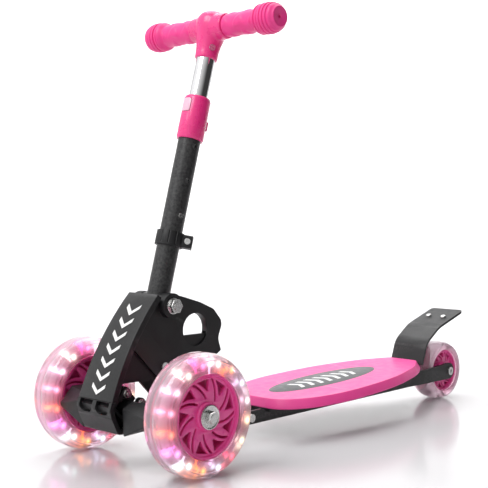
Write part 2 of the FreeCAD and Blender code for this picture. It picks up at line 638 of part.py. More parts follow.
def front_cradle():
    """Bent steel cradle below the panel: front wall, floor and the saddle for the king bolt."""
    low, high = CRADLE_FLOOR
    wall = side_plate([(-67, 84.6), (-70.2, 76), (-67.5, 66), (-58, low), (20, low), (20, high), (-54.5, high),
                       (-61.5, 67), (-64, 76), (-61, 84.6)], -CRADLE_HALF, CRADLE_HALF,
                      [0, 8, 8, 5, 0, 0, 4, 6, 6, 0])
    floor = box(-RAIL_IN + 0.5, RAIL_IN - 0.5, 15, NECK_Y0 - 0.02, low, high)
    windows = []
    for x in (-15.5, 15.5):
        cut = plan_window(x, 12.0)
        windows.append(cut)
    upper = king_plate(SADDLE_UP, SADDLE_UP + SADDLE_THICK, -24, SADDLE_BACK, SADDLE_HALF)
    lower = king_plate(SADDLE_DOWN - SADDLE_THICK, SADDLE_DOWN, -26, SADDLE_BACK, SADDLE_HALF)
    back = king_plate(SADDLE_DOWN - SADDLE_THICK, SADDLE_UP + SADDLE_THICK, -26, -22, SADDLE_HALF)
    post = side_plate([(-46, high - 1), king_point(SADDLE_DOWN - 2, -26), king_point(SADDLE_DOWN - 2, -10),
                       (-28, high - 1)],
                      -SADDLE_HALF, SADDLE_HALF)
    tie = side_plate([king_point(SADDLE_UP, -24), king_point(SADDLE_UP + SADDLE_THICK, -24), (-66, 78), (-64, 70)],
                     -SADDLE_HALF, SADDLE_HALF)
    bosses = []
    for y, z in SADDLE_BOLTS:
        boss = rod_x(SADDLE_HALF - 5, SADDLE_HALF, y, z, SADDLE_BOSS_R).cut(rod_x(0, 60, y, z, SADDLE_BOLT_R))
        bosses += [boss, mirrored(boss)]
    body = wall.cut(group(windows)).fuse([floor, upper, lower, back, post, tie])
    for y, z in SADDLE_BOLTS:
        body = body.cut(rod_x(-60, -SADDLE_HALF + SADDLE_BOLT_DEPTH, y, z, SADDLE_BOLT_R))
        body = body.cut(rod_x(SADDLE_HALF - SADDLE_BOLT_DEPTH, 60, y, z, SADDLE_BOLT_R))
    body = body.fuse(bosses)
    body = body.cut(king_rod(AXLE_R + 0.02, -40, 40))
    return body.removeSplitter()


def plan_window(x, half):
    """U-shaped opening in the cradle's front wall, from the bend down."""
    corners = [FreeCAD.Vector(x + dx, -80, z) for dx, z in ((-half, 84), (half, 84), (half, 69), (-half, 69))]
    return Part.Face(rounded_wire(corners, [0.5, 0.5, 8, 8])).extrude(FreeCAD.Vector(0, 20.5, 0))


SADDLE_BOLTS = (king_point(SADDLE_UP - 1.3, 0.7), king_point(SADDLE_DOWN, SADDLE_BACK))
SADDLE_BOLT_R = 2.5
SADDLE_BOSS_R = 6.5
SADDLE_BOLT_DEPTH = 4.0


def saddle_bolts():
    """Nuts and studs in the ends of the saddle's two plates, facing outwards."""
    bolts = []
    for y, z in SADDLE_BOLTS:
        stud = rod_x(SADDLE_HALF - SADDLE_BOLT_DEPTH + 0.1, SADDLE_HALF + 5.2, y, z, SADDLE_BOLT_R - 0.05)
        nut = rod_x(SADDLE_HALF + 0.02, SADDLE_HALF + 1.2, y, z, 5.2).fuse(
            hex_x(SADDLE_HALF + 1.2, SADDLE_HALF + 4.6, y, z, 8))
        bolt = stud.fuse(nut)
        bolts += [bolt, mirrored(bolt)]
    return group(bolts)


def king_bolt():
    top = SADDLE_UP + SADDLE_THICK
    shank = king_rod(AXLE_R, SADDLE_DOWN - SADDLE_THICK - 6, top)
    return shank.fuse(king_rod(7.0, top + 0.02, top + 4.5)).fuse(king_rod(AXLE_R, top - 1, top + 1))


def king_nut():
    low = SADDLE_DOWN - SADDLE_THICK
    return king_rod(6.5, low - 5.5, low - 0.02).cut(king_rod(AXLE_R + 0.02, -60, 60))


STEER_X = 16.0
SLAB_UP, SLAB_DOWN = 3.6, -6.0


def steer_blocks():
    """Rubber blocks above and below the truck's arms that bring the steering back to centre."""
    blocks = []
    for x in (-STEER_X, STEER_X):
        blocks.append(king_rod(6.5, SLAB_UP + 2.4, SADDLE_UP - 0.02, x, -4))
        blocks.append(king_rod(6.5, SADDLE_DOWN + 0.02, SLAB_DOWN - 2.4, x, -4))
    return group(blocks)


# ---- truck ---------------------------------------------------------------------------
ARM_ROOT_X, ARM_END_X = 39.0, 84.0
KING_BARREL_R = 7.5
STUB_IN_X = 60.0
STUB_OUT_X = 133.0
FRONT_HUB_HALF = 17.0


def axle_beam():
    """Moulded beam: a slab on the king bolt and two arms that taper out to the wheels."""
    slab = king_plate(SLAB_DOWN, SLAB_UP, -15, -3, ARM_ROOT_X + 1)
    slab = slab.fuse(king_plate(SLAB_DOWN, SLAB_UP, -4, 7, STEER_X + 8))
    barrel = king_rod(KING_BARREL_R, SADDLE_DOWN + 0.4, SADDLE_UP - 0.4)
    root = [(-56, 45), (-57, 78), (-42, 84), (-30, 77), (5, 71), (5, 60), (-22, 47)]
    end = [(-56, 64), (-57, 69), (-39, 88), (-12, 88), (12, 83), (12, 61), (-10, 59)]
    sections = []
    for x, outline in ((ARM_ROOT_X, root), (ARM_END_X, end)):
        sections.append(rounded_wire([FreeCAD.Vector(x, y, z) for y, z in outline], 2.5))
    arm = Part.makeLoft(sections, True, True)
    arm = arm.cut(rod_x(STUB_IN_X, 200, 0, FRONT_WHEEL_R, AXLE_R + 0.02))
    body = slab.fuse([barrel, arm, mirrored(arm)])
    return body.cut(king_rod(AXLE_R + RUN_GAP, -40, 40)).removeSplitter()


def front_axles():
    """Two stub axles pressed into the beam's arms."""
    stub = rod_x(STUB_IN_X, STUB_OUT_X, 0, FRONT_WHEEL_R, AXLE_R)
    return group([stub, mirrored(stub)])


def front_spacers():
    inner = WHEEL_X - FRONT_HUB_HALF - GAP
    spacer = ring_x(ARM_END_X + 0.02, inner, 0, FRONT_WHEEL_R, 7.0, AXLE_R + 0.02)
    return group([spacer, mirrored(spacer)])


def front_washers():
    """Cupped zinc washers outside the bearings."""
    outer = WHEEL_X + FRONT_HUB_HALF + GAP
    washer = ring_x(outer, outer + 1.6, 0, FRONT_WHEEL_R, 13.5, AXLE_R + 0.02)
    return group([washer, mirrored(washer)])


def front_nuts():
    start = WHEEL_X + FRONT_HUB_HALF + GAP + 1.62
    nut = hex_x(start, start + 6.5, 0, FRONT_WHEEL_R, 13).cut(rod_x(0, 200, 0, FRONT_WHEEL_R, AXLE_R + 0.02))
    return group([nut, mirrored(nut)])


# ---- fold pivot, stem and its lock ---------------------------------------------------
BARREL_HALF = 19.2
BARREL_R = 15.0
GUSSET_HALF = 5.0
HOLE_Y, HOLE_Z, HOLE_R = 88.8, 155.5, 21.0
LEVER_HALF = 2.8
LOCK_DEG = -37.0              # direction of the lock bolt from the fold pivot
LOCK_ANGLE = math.radians(LOCK_DEG)
LOCK_ROOT, LOCK_REACH = 84.0, 129.7             # fold pivot to the bolt's two ends
LOCK_HALF = 4.0
LOCK_TRAVEL = 5.0
LOWER_TUBE_TOP = 256.0


def pivot_bolt():
    shank = rod_x(-BOSS_OUT - 1, BOSS_OUT + 9, PIVOT_Y, PIVOT_Z, BOLT_R - 0.02)
    head = rod_x(-BOSS_OUT - 6, -BOSS_OUT - 0.02, PIVOT_Y, PIVOT_Z, 8.5)
    return shank.fuse(head)


def pivot_nut():
    washer = ring_x(BOSS_OUT + 0.02, BOSS_OUT + 1.8, PIVOT_Y, PIVOT_Z, 10.0, BOLT_R)
    nut = hex_x(BOSS_OUT + 1.82, BOSS_OUT + 8, PIVOT_Y, PIVOT_Z, 16).cut(rod_x(0, 60, PIVOT_Y, PIVOT_Z, BOLT_R))
    return group([washer, nut])


def stem_gusset():
    """Pivot barrel and the holed gusset plate behind it, which folds with the stem."""
    barrel = rod_x(-BARREL_HALF, BARREL_HALF, PIVOT_Y, PIVOT_Z, BARREL_R)
    outline = [(18, 207), (63, 200), (97, 190), (121, 180), (137, 162), (129, 141), (134.5, 125),
               (90, 99), (64, 115), (41, 140), (22, 176)]
    plate = side_plate(outline, -GUSSET_HALF, GUSSET_HALF, [0, 60, 40, 14, 12, 14, 2, 14, 20, 20, 0])
    plate = plate.cut(rod_x(-20, 20, HOLE_Y, HOLE_Z, HOLE_R))
    body = barrel.fuse(plate).cut(lever_slot())
    body = body.cut(on_stem(rod_z(LOWER_TUBE_R + 0.02, 6, 40)))
    body = body.cut(rod_x(-40, 40, PIVOT_Y, PIVOT_Z, BUSH_R))
    # The tube's bore leaves two crumbs at the plate's top edge; only the plate is kept.
    return max(body.removeSplitter().Solids, key=lambda solid: solid.Volume)


BUSH_R = 7.0


def pivot_bushes():
    """Plastic bushes in the barrel, running on the pivot bolt."""
    bushes = []
    for x0, x1 in ((-BARREL_HALF, -6), (6, BARREL_HALF)):
        bushes.append(ring_x(x0, x1, PIVOT_Y, PIVOT_Z, BUSH_R - 0.02, BOLT_R + RUN_GAP - 0.02))
    return group(bushes)


def lock_point(reach, side=0):
    """(y, z) at a distance from the fold pivot along the lock bolt, moved sideways by side."""
    return (PIVOT_Y + reach * math.cos(LOCK_ANGLE) + side * math.sin(LOCK_ANGLE),
            PIVOT_Z + reach * math.sin(LOCK_ANGLE) - side * math.cos(LOCK_ANGLE))


def lever_rod(grow, drawn):
    """Flat lock bolt under the hole; drawn is how far back its inner end reaches."""
    half = LEVER_HALF + grow
    outer = LOCK_REACH + 40 * grow
    corners = [lock_point(LOCK_ROOT - drawn, LOCK_HALF + grow), lock_point(LOCK_ROOT - drawn, -LOCK_HALF - grow),
               lock_point(outer, -LOCK_HALF - grow), lock_point(outer, LOCK_HALF + grow)]
    return side_plate(corners, -half, half)


FINGER = [(66, 149), (112, 149), (106, 133), (72, 133)]   # (y, z) corners of the finger pad


def finger_plate():
    """Flat-topped finger pad that fills the foot of the hole."""
    return side_plate(FINGER, -LEVER_HALF, LEVER_HALF)


def lever_slot():
    """Room in the gusset for the lever and its travel."""
    half = LEVER_HALF + GAP
    reach = LOCK_TRAVEL + GAP
    y_back, z_back = -reach * math.cos(LOCK_ANGLE), -reach * math.sin(LOCK_ANGLE)
    outward = [(-1, 1), (1, 1), (1, -1), (-1, -1)]
    top_left, top_right, low_right, low_left = [
        (y + GAP * side, z + GAP * up) for (y, z), (side, up) in zip(FINGER, outward)]
    drawn = [(y + y_back, z + z_back) for y, z in (top_right, top_left, low_left)]
    return lever_rod(GAP, reach).fuse(side_plate([low_left, low_right, top_right] + drawn, -half, half))


def fold_release():
    """Finger lever across the foot of the hole, and the flat bolt that it draws back."""
    return lever_rod(0, 0).fuse(finger_plate()).removeSplitter()


KEEPER_Y0, KEEPER_TOP = 133.4, 112.5


def latch_keeper():
    """Post on the deck's neck, with the notch that the lock bolt drops into."""
    post = side_plate([(KEEPER_Y0, NECK_Z1 + 2.4), (KEEPER_Y0, KEEPER_TOP), (KEEPER_Y0 + 5, KEEPER_TOP),
                       (KEEPER_Y0 + 9, 80), (KEEPER_Y0 + 14, NECK_Z1 + 2.4)], -9, 9, [0, 1, 2, 10, 0])
    foot = box(-16, 16, KEEPER_Y0 - 8, KEEPER_Y0 + 26, NECK_Z1 - 0.5, NECK_Z1 + 2.5)
    return post.fuse(foot).removeSplitter()


def lower_tube():
    tube = rod_z(LOWER_TUBE_R, 6, LOWER_TUBE_TOP).cut(rod_z(LOWER_TUBE_BORE, 16, LOWER_TUBE_TOP + 1))
    for height in SNAP_HOLES:
        tube = tube.cut(snap_bar(SNAP_HOLE_R, 0, 40, height))
    tube = on_stem(tube)
    return tube.cut(rod_x(-40, 40, PIVOT_Y, PIVOT_Z, BUSH_R))


SNAP_HOLES = (113.0, 158.0, 203.0)
SNAP_HOLE_R = 3.3
SNAP_PIN_R = 3.2
SNAP_TRAVEL = 3.0
SNAP_DEG = 9.0                # the row of holes, turned forward from the left side


def snap_bar(radius, r0, r1, height):
    """A bar pointing out of the stem at the row of snap holes."""
    angle = math.radians(SNAP_DEG)
    out = FreeCAD.Vector(math.cos(angle), -math.sin(angle), 0)
    start = out * r0 + FreeCAD.Vector(0, 0, height)
    return Part.makeCylinder(radius, r1 - r0, start, out)


def snap_pin():
    """Round-nosed pin that locks the height; it is pressed in to move the handlebar."""
    inner = UPPER_TUBE_R + GAP
    outer = LOWER_TUBE_R + SNAP_TRAVEL
    pin = snap_bar(SNAP_PIN_R, inner, outer - 1.2, SNAP_HOLES[0])
    nose = snap_bar(SNAP_PIN_R, outer - 1.2, outer, SNAP_HOLES[0])
    nose = nose.makeFillet(1.1, [e for e in nose.Edges if e.BoundBox.Center.distanceToPoint(
        nose.CenterOfMass) > 0.55 and e.Curve.TypeId == "Part::GeomCircle"][-1:])
    return on_stem(pin.fuse(nose).removeSplitter())


def snap_spring():
    """Folded leaf spring inside the chrome tube, behind the snap pin."""
    leaf = box(-8.6, 8.6, -2.5, 2.5, 0, 0.8)
    leg = box(7.8, 8.6, -2.5, 2.5, -14, 0.8)
    other = box(-8.6, -7.8, -2.5, 2.5, -14, 0.8)
    spring = leaf.fuse([leg, other])
    spring.rotate(ORIGIN, Z_AXIS, -SNAP_DEG)
    spring.translate(FreeCAD.Vector(0, 0, SNAP_HOLES[0] + 12))
    return on_stem(spring)


def tube_clamp():
    """Ribbed strap round the lower tube, its lug turned halfway to the rear."""
    band = rod_z(17.5, 74, 92)
    lug = box(8, 29, -7, 7, 75, 91)
    body = band.fuse(lug)
    for i in range(9):
        rib = rod_z(1.1, 76.5, 93, 17.9, 0)
        rib.rotate(ORIGIN, Z_AXIS, 60 + 30 * i)
        body = body.cut(rib)
    body = body.cut(rod_z(LOWER_TUBE_R + 0.02, 60, 110))
    body = body.cut(box(15, 40, -1.2, 1.2, 60, 110))
    bolt_hole = Part.makeCylinder(2.1, 40, FreeCAD.Vector(23, -20, 83), FreeCAD.Vector(0, 1, 0))
    body = body.cut(bolt_hole)
    body.rotate(ORIGIN, Z_AXIS, 45)
    return on_stem(body)


def clamp_bolt():
    shank = Part.makeCylinder(2.05, 21, FreeCAD.Vector(23, -8, 83), FreeCAD.Vector(0, 1, 0))
    head = Part.makeCylinder(3.8, 3, FreeCAD.Vector(23, -10.1, 83), FreeCAD.Vector(0, 1, 0))
    nut = Part.makeCylinder(3.8, 3.4, FreeCAD.Vector(23, 7.05, 83), FreeCAD.Vector(0, 1, 0))
    bolt = shank.fuse([head, nut])
    bolt.rotate(ORIGIN, Z_AXIS, 45)
    return on_stem(bolt)


COLLAR_R = 17.2
COLLAR_LOW, COLLAR_TOP = 212.0, 268.0
BUTTON_Z0, BUTTON_Z1 = 246.0, 263.0
BUTTON_HALF = 7.0


def height_collar():
    """Pink plastic collar over the joint of the two tubes."""
    body = turned_z([(0, COLLAR_LOW), (COLLAR_R - 1, COLLAR_LOW), (COLLAR_R, COLLAR_LOW + 2), (COLLAR_R, COLLAR_TOP - 3),
                     (COLLAR_R - 1.5, COLLAR_TOP), (0, COLLAR_TOP)])
    body = body.fuse(box(-6, 6, 10, COLLAR_R + 3.2, 230, 242))
    body = body.cut(rod_z(LOWER_TUBE_R + 0.02, 200, LOWER_TUBE_TOP + 1))
    body = body.cut(rod_z(UPPER_TUBE_R + 0.5, 200, 300))
    body = body.cut(collar_button_body(0.3, 3.0))
    body = body.cut(Part.makeCylinder(2.02, 30, FreeCAD.Vector(0, 14.4, 236), FreeCAD.Vector(0, 1, 0)))
    return on_stem(body.removeSplitter())


def turned_z(points):
    corners = [FreeCAD.Vector(r, 0, z) for r, z in points]
    face = Part.Face(Part.makePolygon(corners + [corners[0]]))
    return face.revolve(ORIGIN, Z_AXIS, 360)


def collar_button_body(grow, deeper):
    corners = [FreeCAD.Vector(x, -COLLAR_R - 2, z) for x, z in (
        (-BUTTON_HALF - grow, BUTTON_Z0 - grow), (BUTTON_HALF + grow, BUTTON_Z0 - grow),
        (BUTTON_HALF + grow, BUTTON_Z1 + grow), (-BUTTON_HALF - grow, BUTTON_Z1 + grow))]
    bar = Part.Face(rounded_wire(corners, 3.0)).extrude(FreeCAD.Vector(0, 12, 0))
    shell = rod_z(COLLAR_R + 0.9, 200, 300).cut(rod_z(LOWER_TUBE_R + 1.4 if deeper == 0 else LOWER_TUBE_R, 199, 301))
    return bar.common(shell)


def collar_button():
    return on_stem(collar_button_body(0, 0))


def collar_screw():
    head = Part.makeCylinder(3.4, 2, FreeCAD.Vector(0, COLLAR_R + 3.22, 236), FreeCAD.Vector(0, 1, 0))
    shank = Part.makeCylinder(2.0, 6.5, FreeCAD.Vector(0, COLLAR_R - 2.6, 236), FreeCAD.Vector(0, 1, 0))
    return on_stem(head.fuse(shank))


def slide_bush():
    """Plastic liner in the top of the lower tube that the chrome tube slides in."""
    liner = rod_z(LOWER_TUBE_BORE - 0.02, 226, LOWER_TUBE_TOP)
    return on_stem(liner.cut(rod_z(UPPER_TUBE_R + RUN_GAP, 200, 300)))


# ---- handlebar -----------------------------------------------------------------------
UPPER_TUBE_LOW = 104.0
UPPER_TUBE_TOP = 352.0
T_LOW = 320.0
BAR_R = 9.0
BAR_HALF = 112.0
GRIP_IN_X = 30.0


def upper_tube():
    tube = rod_z(UPPER_TUBE_R, UPPER_TUBE_LOW, UPPER_TUBE_TOP)
    tube = tube.cut(rod_z(UPPER_TUBE_BORE, UPPER_TUBE_LOW - 1, UPPER_TUBE_TOP + 1))
    return on_stem(tube.cut(snap_bar(SNAP_HOLE_R + 1.2, 0, 40, SNAP_HOLES[0])))


def t_piece():
    """Pink T-piece: neck on the chrome tube, dome on top and a socket for the bar."""
    neck = turned_z([(0, T_LOW), (14.6, T_LOW), (14.6, 334), (17.2, 346), (20.5, 358), (22, 366), (20.5, 374),
                     (15, 381), (8, 384), (0, 384.6)])
    arm = turned([(-GRIP_IN_X + 0.5, 14.2), (-12, 17.5), (12, 17.5), (GRIP_IN_X - 0.5, 14.2), (GRIP_IN_X - 0.5, 0),
                  (-GRIP_IN_X + 0.5, 0)], FreeCAD.Vector(0, 0, GRIP_HEIGHT))
    body = neck.fuse(arm)
    body = body.cut(rod_z(UPPER_TUBE_R + 0.02, 300, UPPER_TUBE_TOP + 0.02))
    body = body.cut(Part.makeCylinder(BAR_R + 0.02, 80, FreeCAD.Vector(-40, 0, GRIP_HEIGHT), X_AXIS))
    body = body.cut(t_screw_bar(2.52, 12, 30))
    return on_stem(body.removeSplitter())


def t_screw_bar(radius, r0, r1):
    angle = math.radians(22)
    out = FreeCAD.Vector(math.cos(angle), -math.sin(angle), 0)
    start = out * r0 + FreeCAD.Vector(0, 0, 333)
    return Part.makeCylinder(radius, r1 - r0, start, out)


def t_piece_screw():
    return on_stem(t_screw_bar(2.5, UPPER_TUBE_R + 0.1, 15.2).fuse(t_screw_bar(4.2, 15.1, 17.2)))


def bar_core():
    core = Part.makeCylinder(BAR_R, 2 * BAR_HALF, FreeCAD.Vector(-BAR_HALF, 0, GRIP_HEIGHT), X_AXIS)
    bore = Part.makeCylinder(BAR_R - 1.5, 2 * BAR_HALF + 2, FreeCAD.Vector(-BAR_HALF - 1, 0, GRIP_HEIGHT), X_AXIS)
    return on_stem(core.cut(bore))


def grip():
    """Soft grip: a sleeve that ends in a grooved ball, closed by a flat cap."""
    outline = [(GRIP_IN_X, 0), (GRIP_IN_X, 14.6), (84, 14.6), (87, 17.0), (91, 18.9)]
    for i in range(4):
        x = 93.5 + 5.0 * i
        r = 19.8 - 0.02 * (x - 101) ** 2
        outline += [(x - 1.6, r), (x + 1.6, r), (x + 2.1, r - 1.6), (x + 2.9, r - 1.6)]
    outline += [(113, 17.2), (116, 15.0), (118.5, 12.8), (120, 12.0), (120, 0)]
    body = turned(outline, FreeCAD.Vector(0, 0, GRIP_HEIGHT))
    body = body.cut(Part.makeCylinder(BAR_R + 0.02, BAR_HALF + 0.5, FreeCAD.Vector(0, 0, GRIP_HEIGHT), X_AXIS))
    return body.cut(Part.makeCylinder(1.8, 40, FreeCAD.Vector(110, 0, GRIP_HEIGHT), X_AXIS))


# ---- write every node ----------------------------------------------------------------
def front_wheel(side):
    centre = FreeCAD.Vector(WHEEL_X, 0, FRONT_WHEEL_R)
    name = "left" if side > 0 else "right"
    pieces = {
        "tyre": front_tyre(centre),
        "hub": hub(FRONT_HUB_HALF, FRONT_RIM_R, 15.0, 10, centre),
        "lights": light_ring(centre),
        "bearings": bearings(FRONT_HUB_HALF, centre),
    }
    for piece, shape in pieces.items():
        save(name + "_" + piece, shape if side > 0 else mirrored(shape))


def rear_wheel():
    save("rear_tyre", tyre(REAR_TYRE_W / 2, REAR_WHEEL_R, REAR_RIM_R + 0.02, REAR_AXLE))
    save("rear_hub", hub(REAR_HUB_HALF, REAR_RIM_R, 14.0, 9, REAR_AXLE))
    save("rear_bearings", bearings(REAR_HUB_HALF, REAR_AXLE))


def both_sides(name, shape):
    save("left_" + name, shape)
    save("right_" + name, mirrored(shape))


os.makedirs("parts", exist_ok=True)
save("deck_frame", deck_frame())
both_sides("rail", rail())
save("deck_pad", deck_pad())
save("deck_inlay", deck_inlay())
save("deck_screws", deck_screws())
save("front_panel", front_panel())
save("panel_marks", panel_marks())
save("front_cradle", front_cradle())
both_sides("cheek", cheek())
both_sides("brace", brace())
save("frame_bolts", group([neck_bolt(), brace_bolts()]))
save("pivot_bolt", pivot_bolt())
save("pivot_nut", pivot_nut())
save("latch_keeper", latch_keeper())
save("king_bolt", group([king_bolt(), king_nut()]))
save("saddle_bolts", saddle_bolts())
save("steer_blocks", steer_blocks())
save("rear_axle", group([rear_axle_bolt(), rear_axle_nut()]))
save("rear_spacers", rear_spacers())
save("brake_plate", brake_plate())
save("brake_shoe", brake_shoe())
save("brake_screws", brake_screws())
save("brake_pin", brake_pin())
save("brake_spring", brake_spring())
save("stem_gusset", stem_gusset())
save("pivot_bushes", pivot_bushes())
save("fold_release", fold_release())
save("lower_tube", lower_tube())
save("snap_pin", snap_pin())
save("snap_spring", snap_spring())
save("tube_clamp", tube_clamp())
save("clamp_bolt", clamp_bolt())
save("height_collar", height_collar())
save("collar_button", collar_button())
save("collar_screw", collar_screw())
save("slide_bush", slide_bush())
save("upper_tube", upper_tube())
save("t_piece", t_piece())
save("t_piece_screw", t_piece_screw())
save("handlebar", bar_core())
save("left_grip", on_stem(grip()))
save("right_grip", on_stem(mirrored(grip())))
save("axle_beam", axle_beam())
save("front_axles", front_axles())
save("front_spacers", front_spacers())
save("front_nuts", group([front_washers(), front_nuts()]))
front_wheel(1)
front_wheel(-1)
rear_wheel()
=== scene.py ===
import json
import math

import bmesh
import bpy
from mathutils import Matrix, Vector

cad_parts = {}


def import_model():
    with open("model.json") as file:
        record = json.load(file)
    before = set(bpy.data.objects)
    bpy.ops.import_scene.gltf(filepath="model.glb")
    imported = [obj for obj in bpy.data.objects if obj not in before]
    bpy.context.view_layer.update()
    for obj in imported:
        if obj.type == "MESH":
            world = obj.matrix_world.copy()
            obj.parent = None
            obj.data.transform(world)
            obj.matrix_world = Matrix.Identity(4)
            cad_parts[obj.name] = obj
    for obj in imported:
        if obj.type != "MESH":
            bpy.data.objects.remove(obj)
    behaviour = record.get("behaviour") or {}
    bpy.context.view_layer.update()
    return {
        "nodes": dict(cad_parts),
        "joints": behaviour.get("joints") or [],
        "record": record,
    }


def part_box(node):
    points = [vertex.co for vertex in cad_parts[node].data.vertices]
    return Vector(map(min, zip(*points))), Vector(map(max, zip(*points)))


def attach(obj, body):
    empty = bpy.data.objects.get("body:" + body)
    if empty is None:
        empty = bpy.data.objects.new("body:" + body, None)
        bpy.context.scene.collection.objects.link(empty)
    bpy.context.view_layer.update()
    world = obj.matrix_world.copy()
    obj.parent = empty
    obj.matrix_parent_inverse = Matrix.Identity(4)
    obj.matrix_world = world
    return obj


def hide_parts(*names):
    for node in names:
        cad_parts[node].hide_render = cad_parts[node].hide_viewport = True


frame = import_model()

MM = 0.001
JOINTS = {joint["name"]: joint for joint in frame["joints"]}
PIVOT = Vector(JOINTS["fold"]["pos_m"])
UP_STEM = Vector(JOINTS["height"]["axis"]).normalized()
BACK_STEM = UP_STEM.cross(Vector((1, 0, 0)))
STEM = Matrix.Translation(PIVOT) @ Matrix((
    (1, BACK_STEM.x, UP_STEM.x), (0, BACK_STEM.y, UP_STEM.y), (0, BACK_STEM.z, UP_STEM.z))).to_4x4()


def node_box(name):
    low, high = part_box(name)
    return Vector(low), Vector(high)


def node_centre(name):
    low, high = node_box(name)
    return (low + high) / 2


# ---- material kit --------------------------------------------------------------------
class Finish:
    """A Principled material, with short calls for its noise, colour and bump."""

    def __init__(self, name, colour, roughness, metallic=0.0):
        self.material = bpy.data.materials.new(name)
        self.material.use_nodes = True
        self.tree = self.material.node_tree
        self.shader = self.tree.nodes["Principled BSDF"]
        self.set("Base Color", (*colour, 1))
        self.set("Roughness", roughness)
        self.set("Metallic", metallic)
        self.place = self.add("ShaderNodeTexCoord").outputs["Object"]
        self.last_normal = None

    def add(self, kind, **settings):
        node = self.tree.nodes.new(kind)
        for key, value in settings.items():
            setattr(node, key, value)
        return node

    def set(self, socket, value):
        self.shader.inputs[socket].default_value = value

    def link(self, source, target):
        self.tree.links.new(source, target)

    def noise(self, size_mm, detail=3.0, stretch=(1, 1, 1), roughness=0.5):
        """Noise whose features are about size_mm across; stretch above 1 squeezes an axis."""
        mapping = self.add("ShaderNodeMapping")
        mapping.inputs["Scale"].default_value = stretch
        self.link(self.place, mapping.inputs["Vector"])
        node = self.add("ShaderNodeTexNoise")
        node.inputs["Scale"].default_value = 1000.0 / size_mm
        node.inputs["Detail"].default_value = detail
        node.inputs["Roughness"].default_value = roughness
        self.link(mapping.outputs[0], node.inputs["Vector"])
        return node.outputs["Fac"]

    def ramp(self, source, stops):
        """Map a 0-1 value to colours; stops are (position, colour or grey)."""
        node = self.add("ShaderNodeValToRGB")
        while len(node.color_ramp.elements) < len(stops):
            node.color_ramp.elements.new(0.5)
        for element, (position, colour) in zip(node.color_ramp.elements, stops):
            element.position = position
            grey = isinstance(colour, (int, float))
            element.color = (colour, colour, colour, 1) if grey else (*colour, 1)
        self.link(source, node.inputs[0])
        return node.outputs[0]

    def clouds(self, size_mm, detail, dark, light, start=0.3, end=0.7):
        """Colour that drifts between two shades in clouds about size_mm across."""
        return self.ramp(self.noise(size_mm, detail), ((start, dark), (end, light)))

    def spread(self, source, low, high):
        """Stretch a noise's middle band to the range from low to high."""
        node = self.add("ShaderNodeMapRange")
        node.inputs["From Min"].default_value = 0.3
        node.inputs["From Max"].default_value = 0.7
        node.inputs["To Min"].default_value = low
        node.inputs["To Max"].default_value = high
        self.link(source, node.inputs["Value"])
        return node.outputs[0]

    def math(self, operation, a, b=None):
        node = self.add("ShaderNodeMath", operation=operation)
        for socket, value in ((0, a), (1, b)):
            if value is None:
                continue
            if isinstance(value, (int, float)):
                node.inputs[socket].default_value = value
            else:
                self.link(value, node.inputs[socket])
        return node.outputs[0]

    def mix(self, factor, a, b):
        node = self.add("ShaderNodeMix", data_type="RGBA")
        for key, value in ((0, factor), (6, a), (7, b)):
            if isinstance(value, (int, float)):
                node.inputs[key].default_value = value
            elif isinstance(value, tuple):
                node.inputs[key].default_value = (*value, 1)
            else:
                self.link(value, node.inputs[key])
        return node.outputs[2]

    def colour(self, source):
        self.link(source, self.shader.inputs["Base Color"])

    def roughness(self, source):
        self.link(source, self.shader.inputs["Roughness"])

    def bump(self, source, depth_mm, strength=1.0):
        node = self.add("ShaderNodeBump")
        node.inputs["Strength"].default_value = strength
        node.inputs["Distance"].default_value = depth_mm * MM
        self.link(source, node.inputs["Height"])
        if self.last_normal is not None:
            self.link(self.last_normal, node.inputs["Normal"])
        self.last_normal = node.outputs[0]
        self.link(self.last_normal, self.shader.inputs["Normal"])

    def worn_edges(self, sharp=0.56):
        """A 0-1 mask of convex edges, broken up by noise."""
        geometry = self.add("ShaderNodeNewGeometry")
        edge = self.ramp(geometry.outputs["Pointiness"], ((sharp - 0.03, 0.0), (sharp + 0.05, 1.0)))
        return self.math("MULTIPLY", edge, self.spread(self.noise(3.0, 4), 0.0, 1.0))


def powder_coat():
    """Semi-matte black powder coat: fine orange peel, faint dust, rubbed edges."""
    finish = Finish("powder_coat", (0.010, 0.010, 0.011), 0.36)
    shade = finish.clouds(60, 3, (0.0095, 0.0095, 0.0105), (0.0115, 0.0115, 0.0125))
    finish.colour(finish.mix(finish.worn_edges(), shade, (0.05, 0.05, 0.05)))
    finish.roughness(finish.spread(finish.noise(14, 4), 0.32, 0.42))
    finish.set("Specular IOR Level", 0.42)
    finish.bump(finish.noise(1.4, 2), 0.02, 0.35)
    finish.bump(finish.noise(9, 2), 0.04, 0.3)
    return finish.material


def black_plastic():
    finish = Finish("black_plastic", (0.010, 0.010, 0.011), 0.46)
    finish.colour(finish.clouds(25, 4, (0.008, 0.008, 0.009), (0.014, 0.014, 0.015), 0.35, 0.7))
    finish.roughness(finish.spread(finish.noise(9, 4), 0.40, 0.52))
    finish.set("Specular IOR Level", 0.4)
    finish.bump(finish.noise(0.8, 3), 0.02, 0.5)
    return finish.material


def black_rubber():
    finish = Finish("black_rubber", (0.02, 0.02, 0.02), 0.75)
    finish.colour(finish.clouds(8, 4, (0.014, 0.014, 0.014), (0.028, 0.027, 0.026)))
    finish.bump(finish.noise(0.8, 4), 0.06, 0.7)
    return finish.material


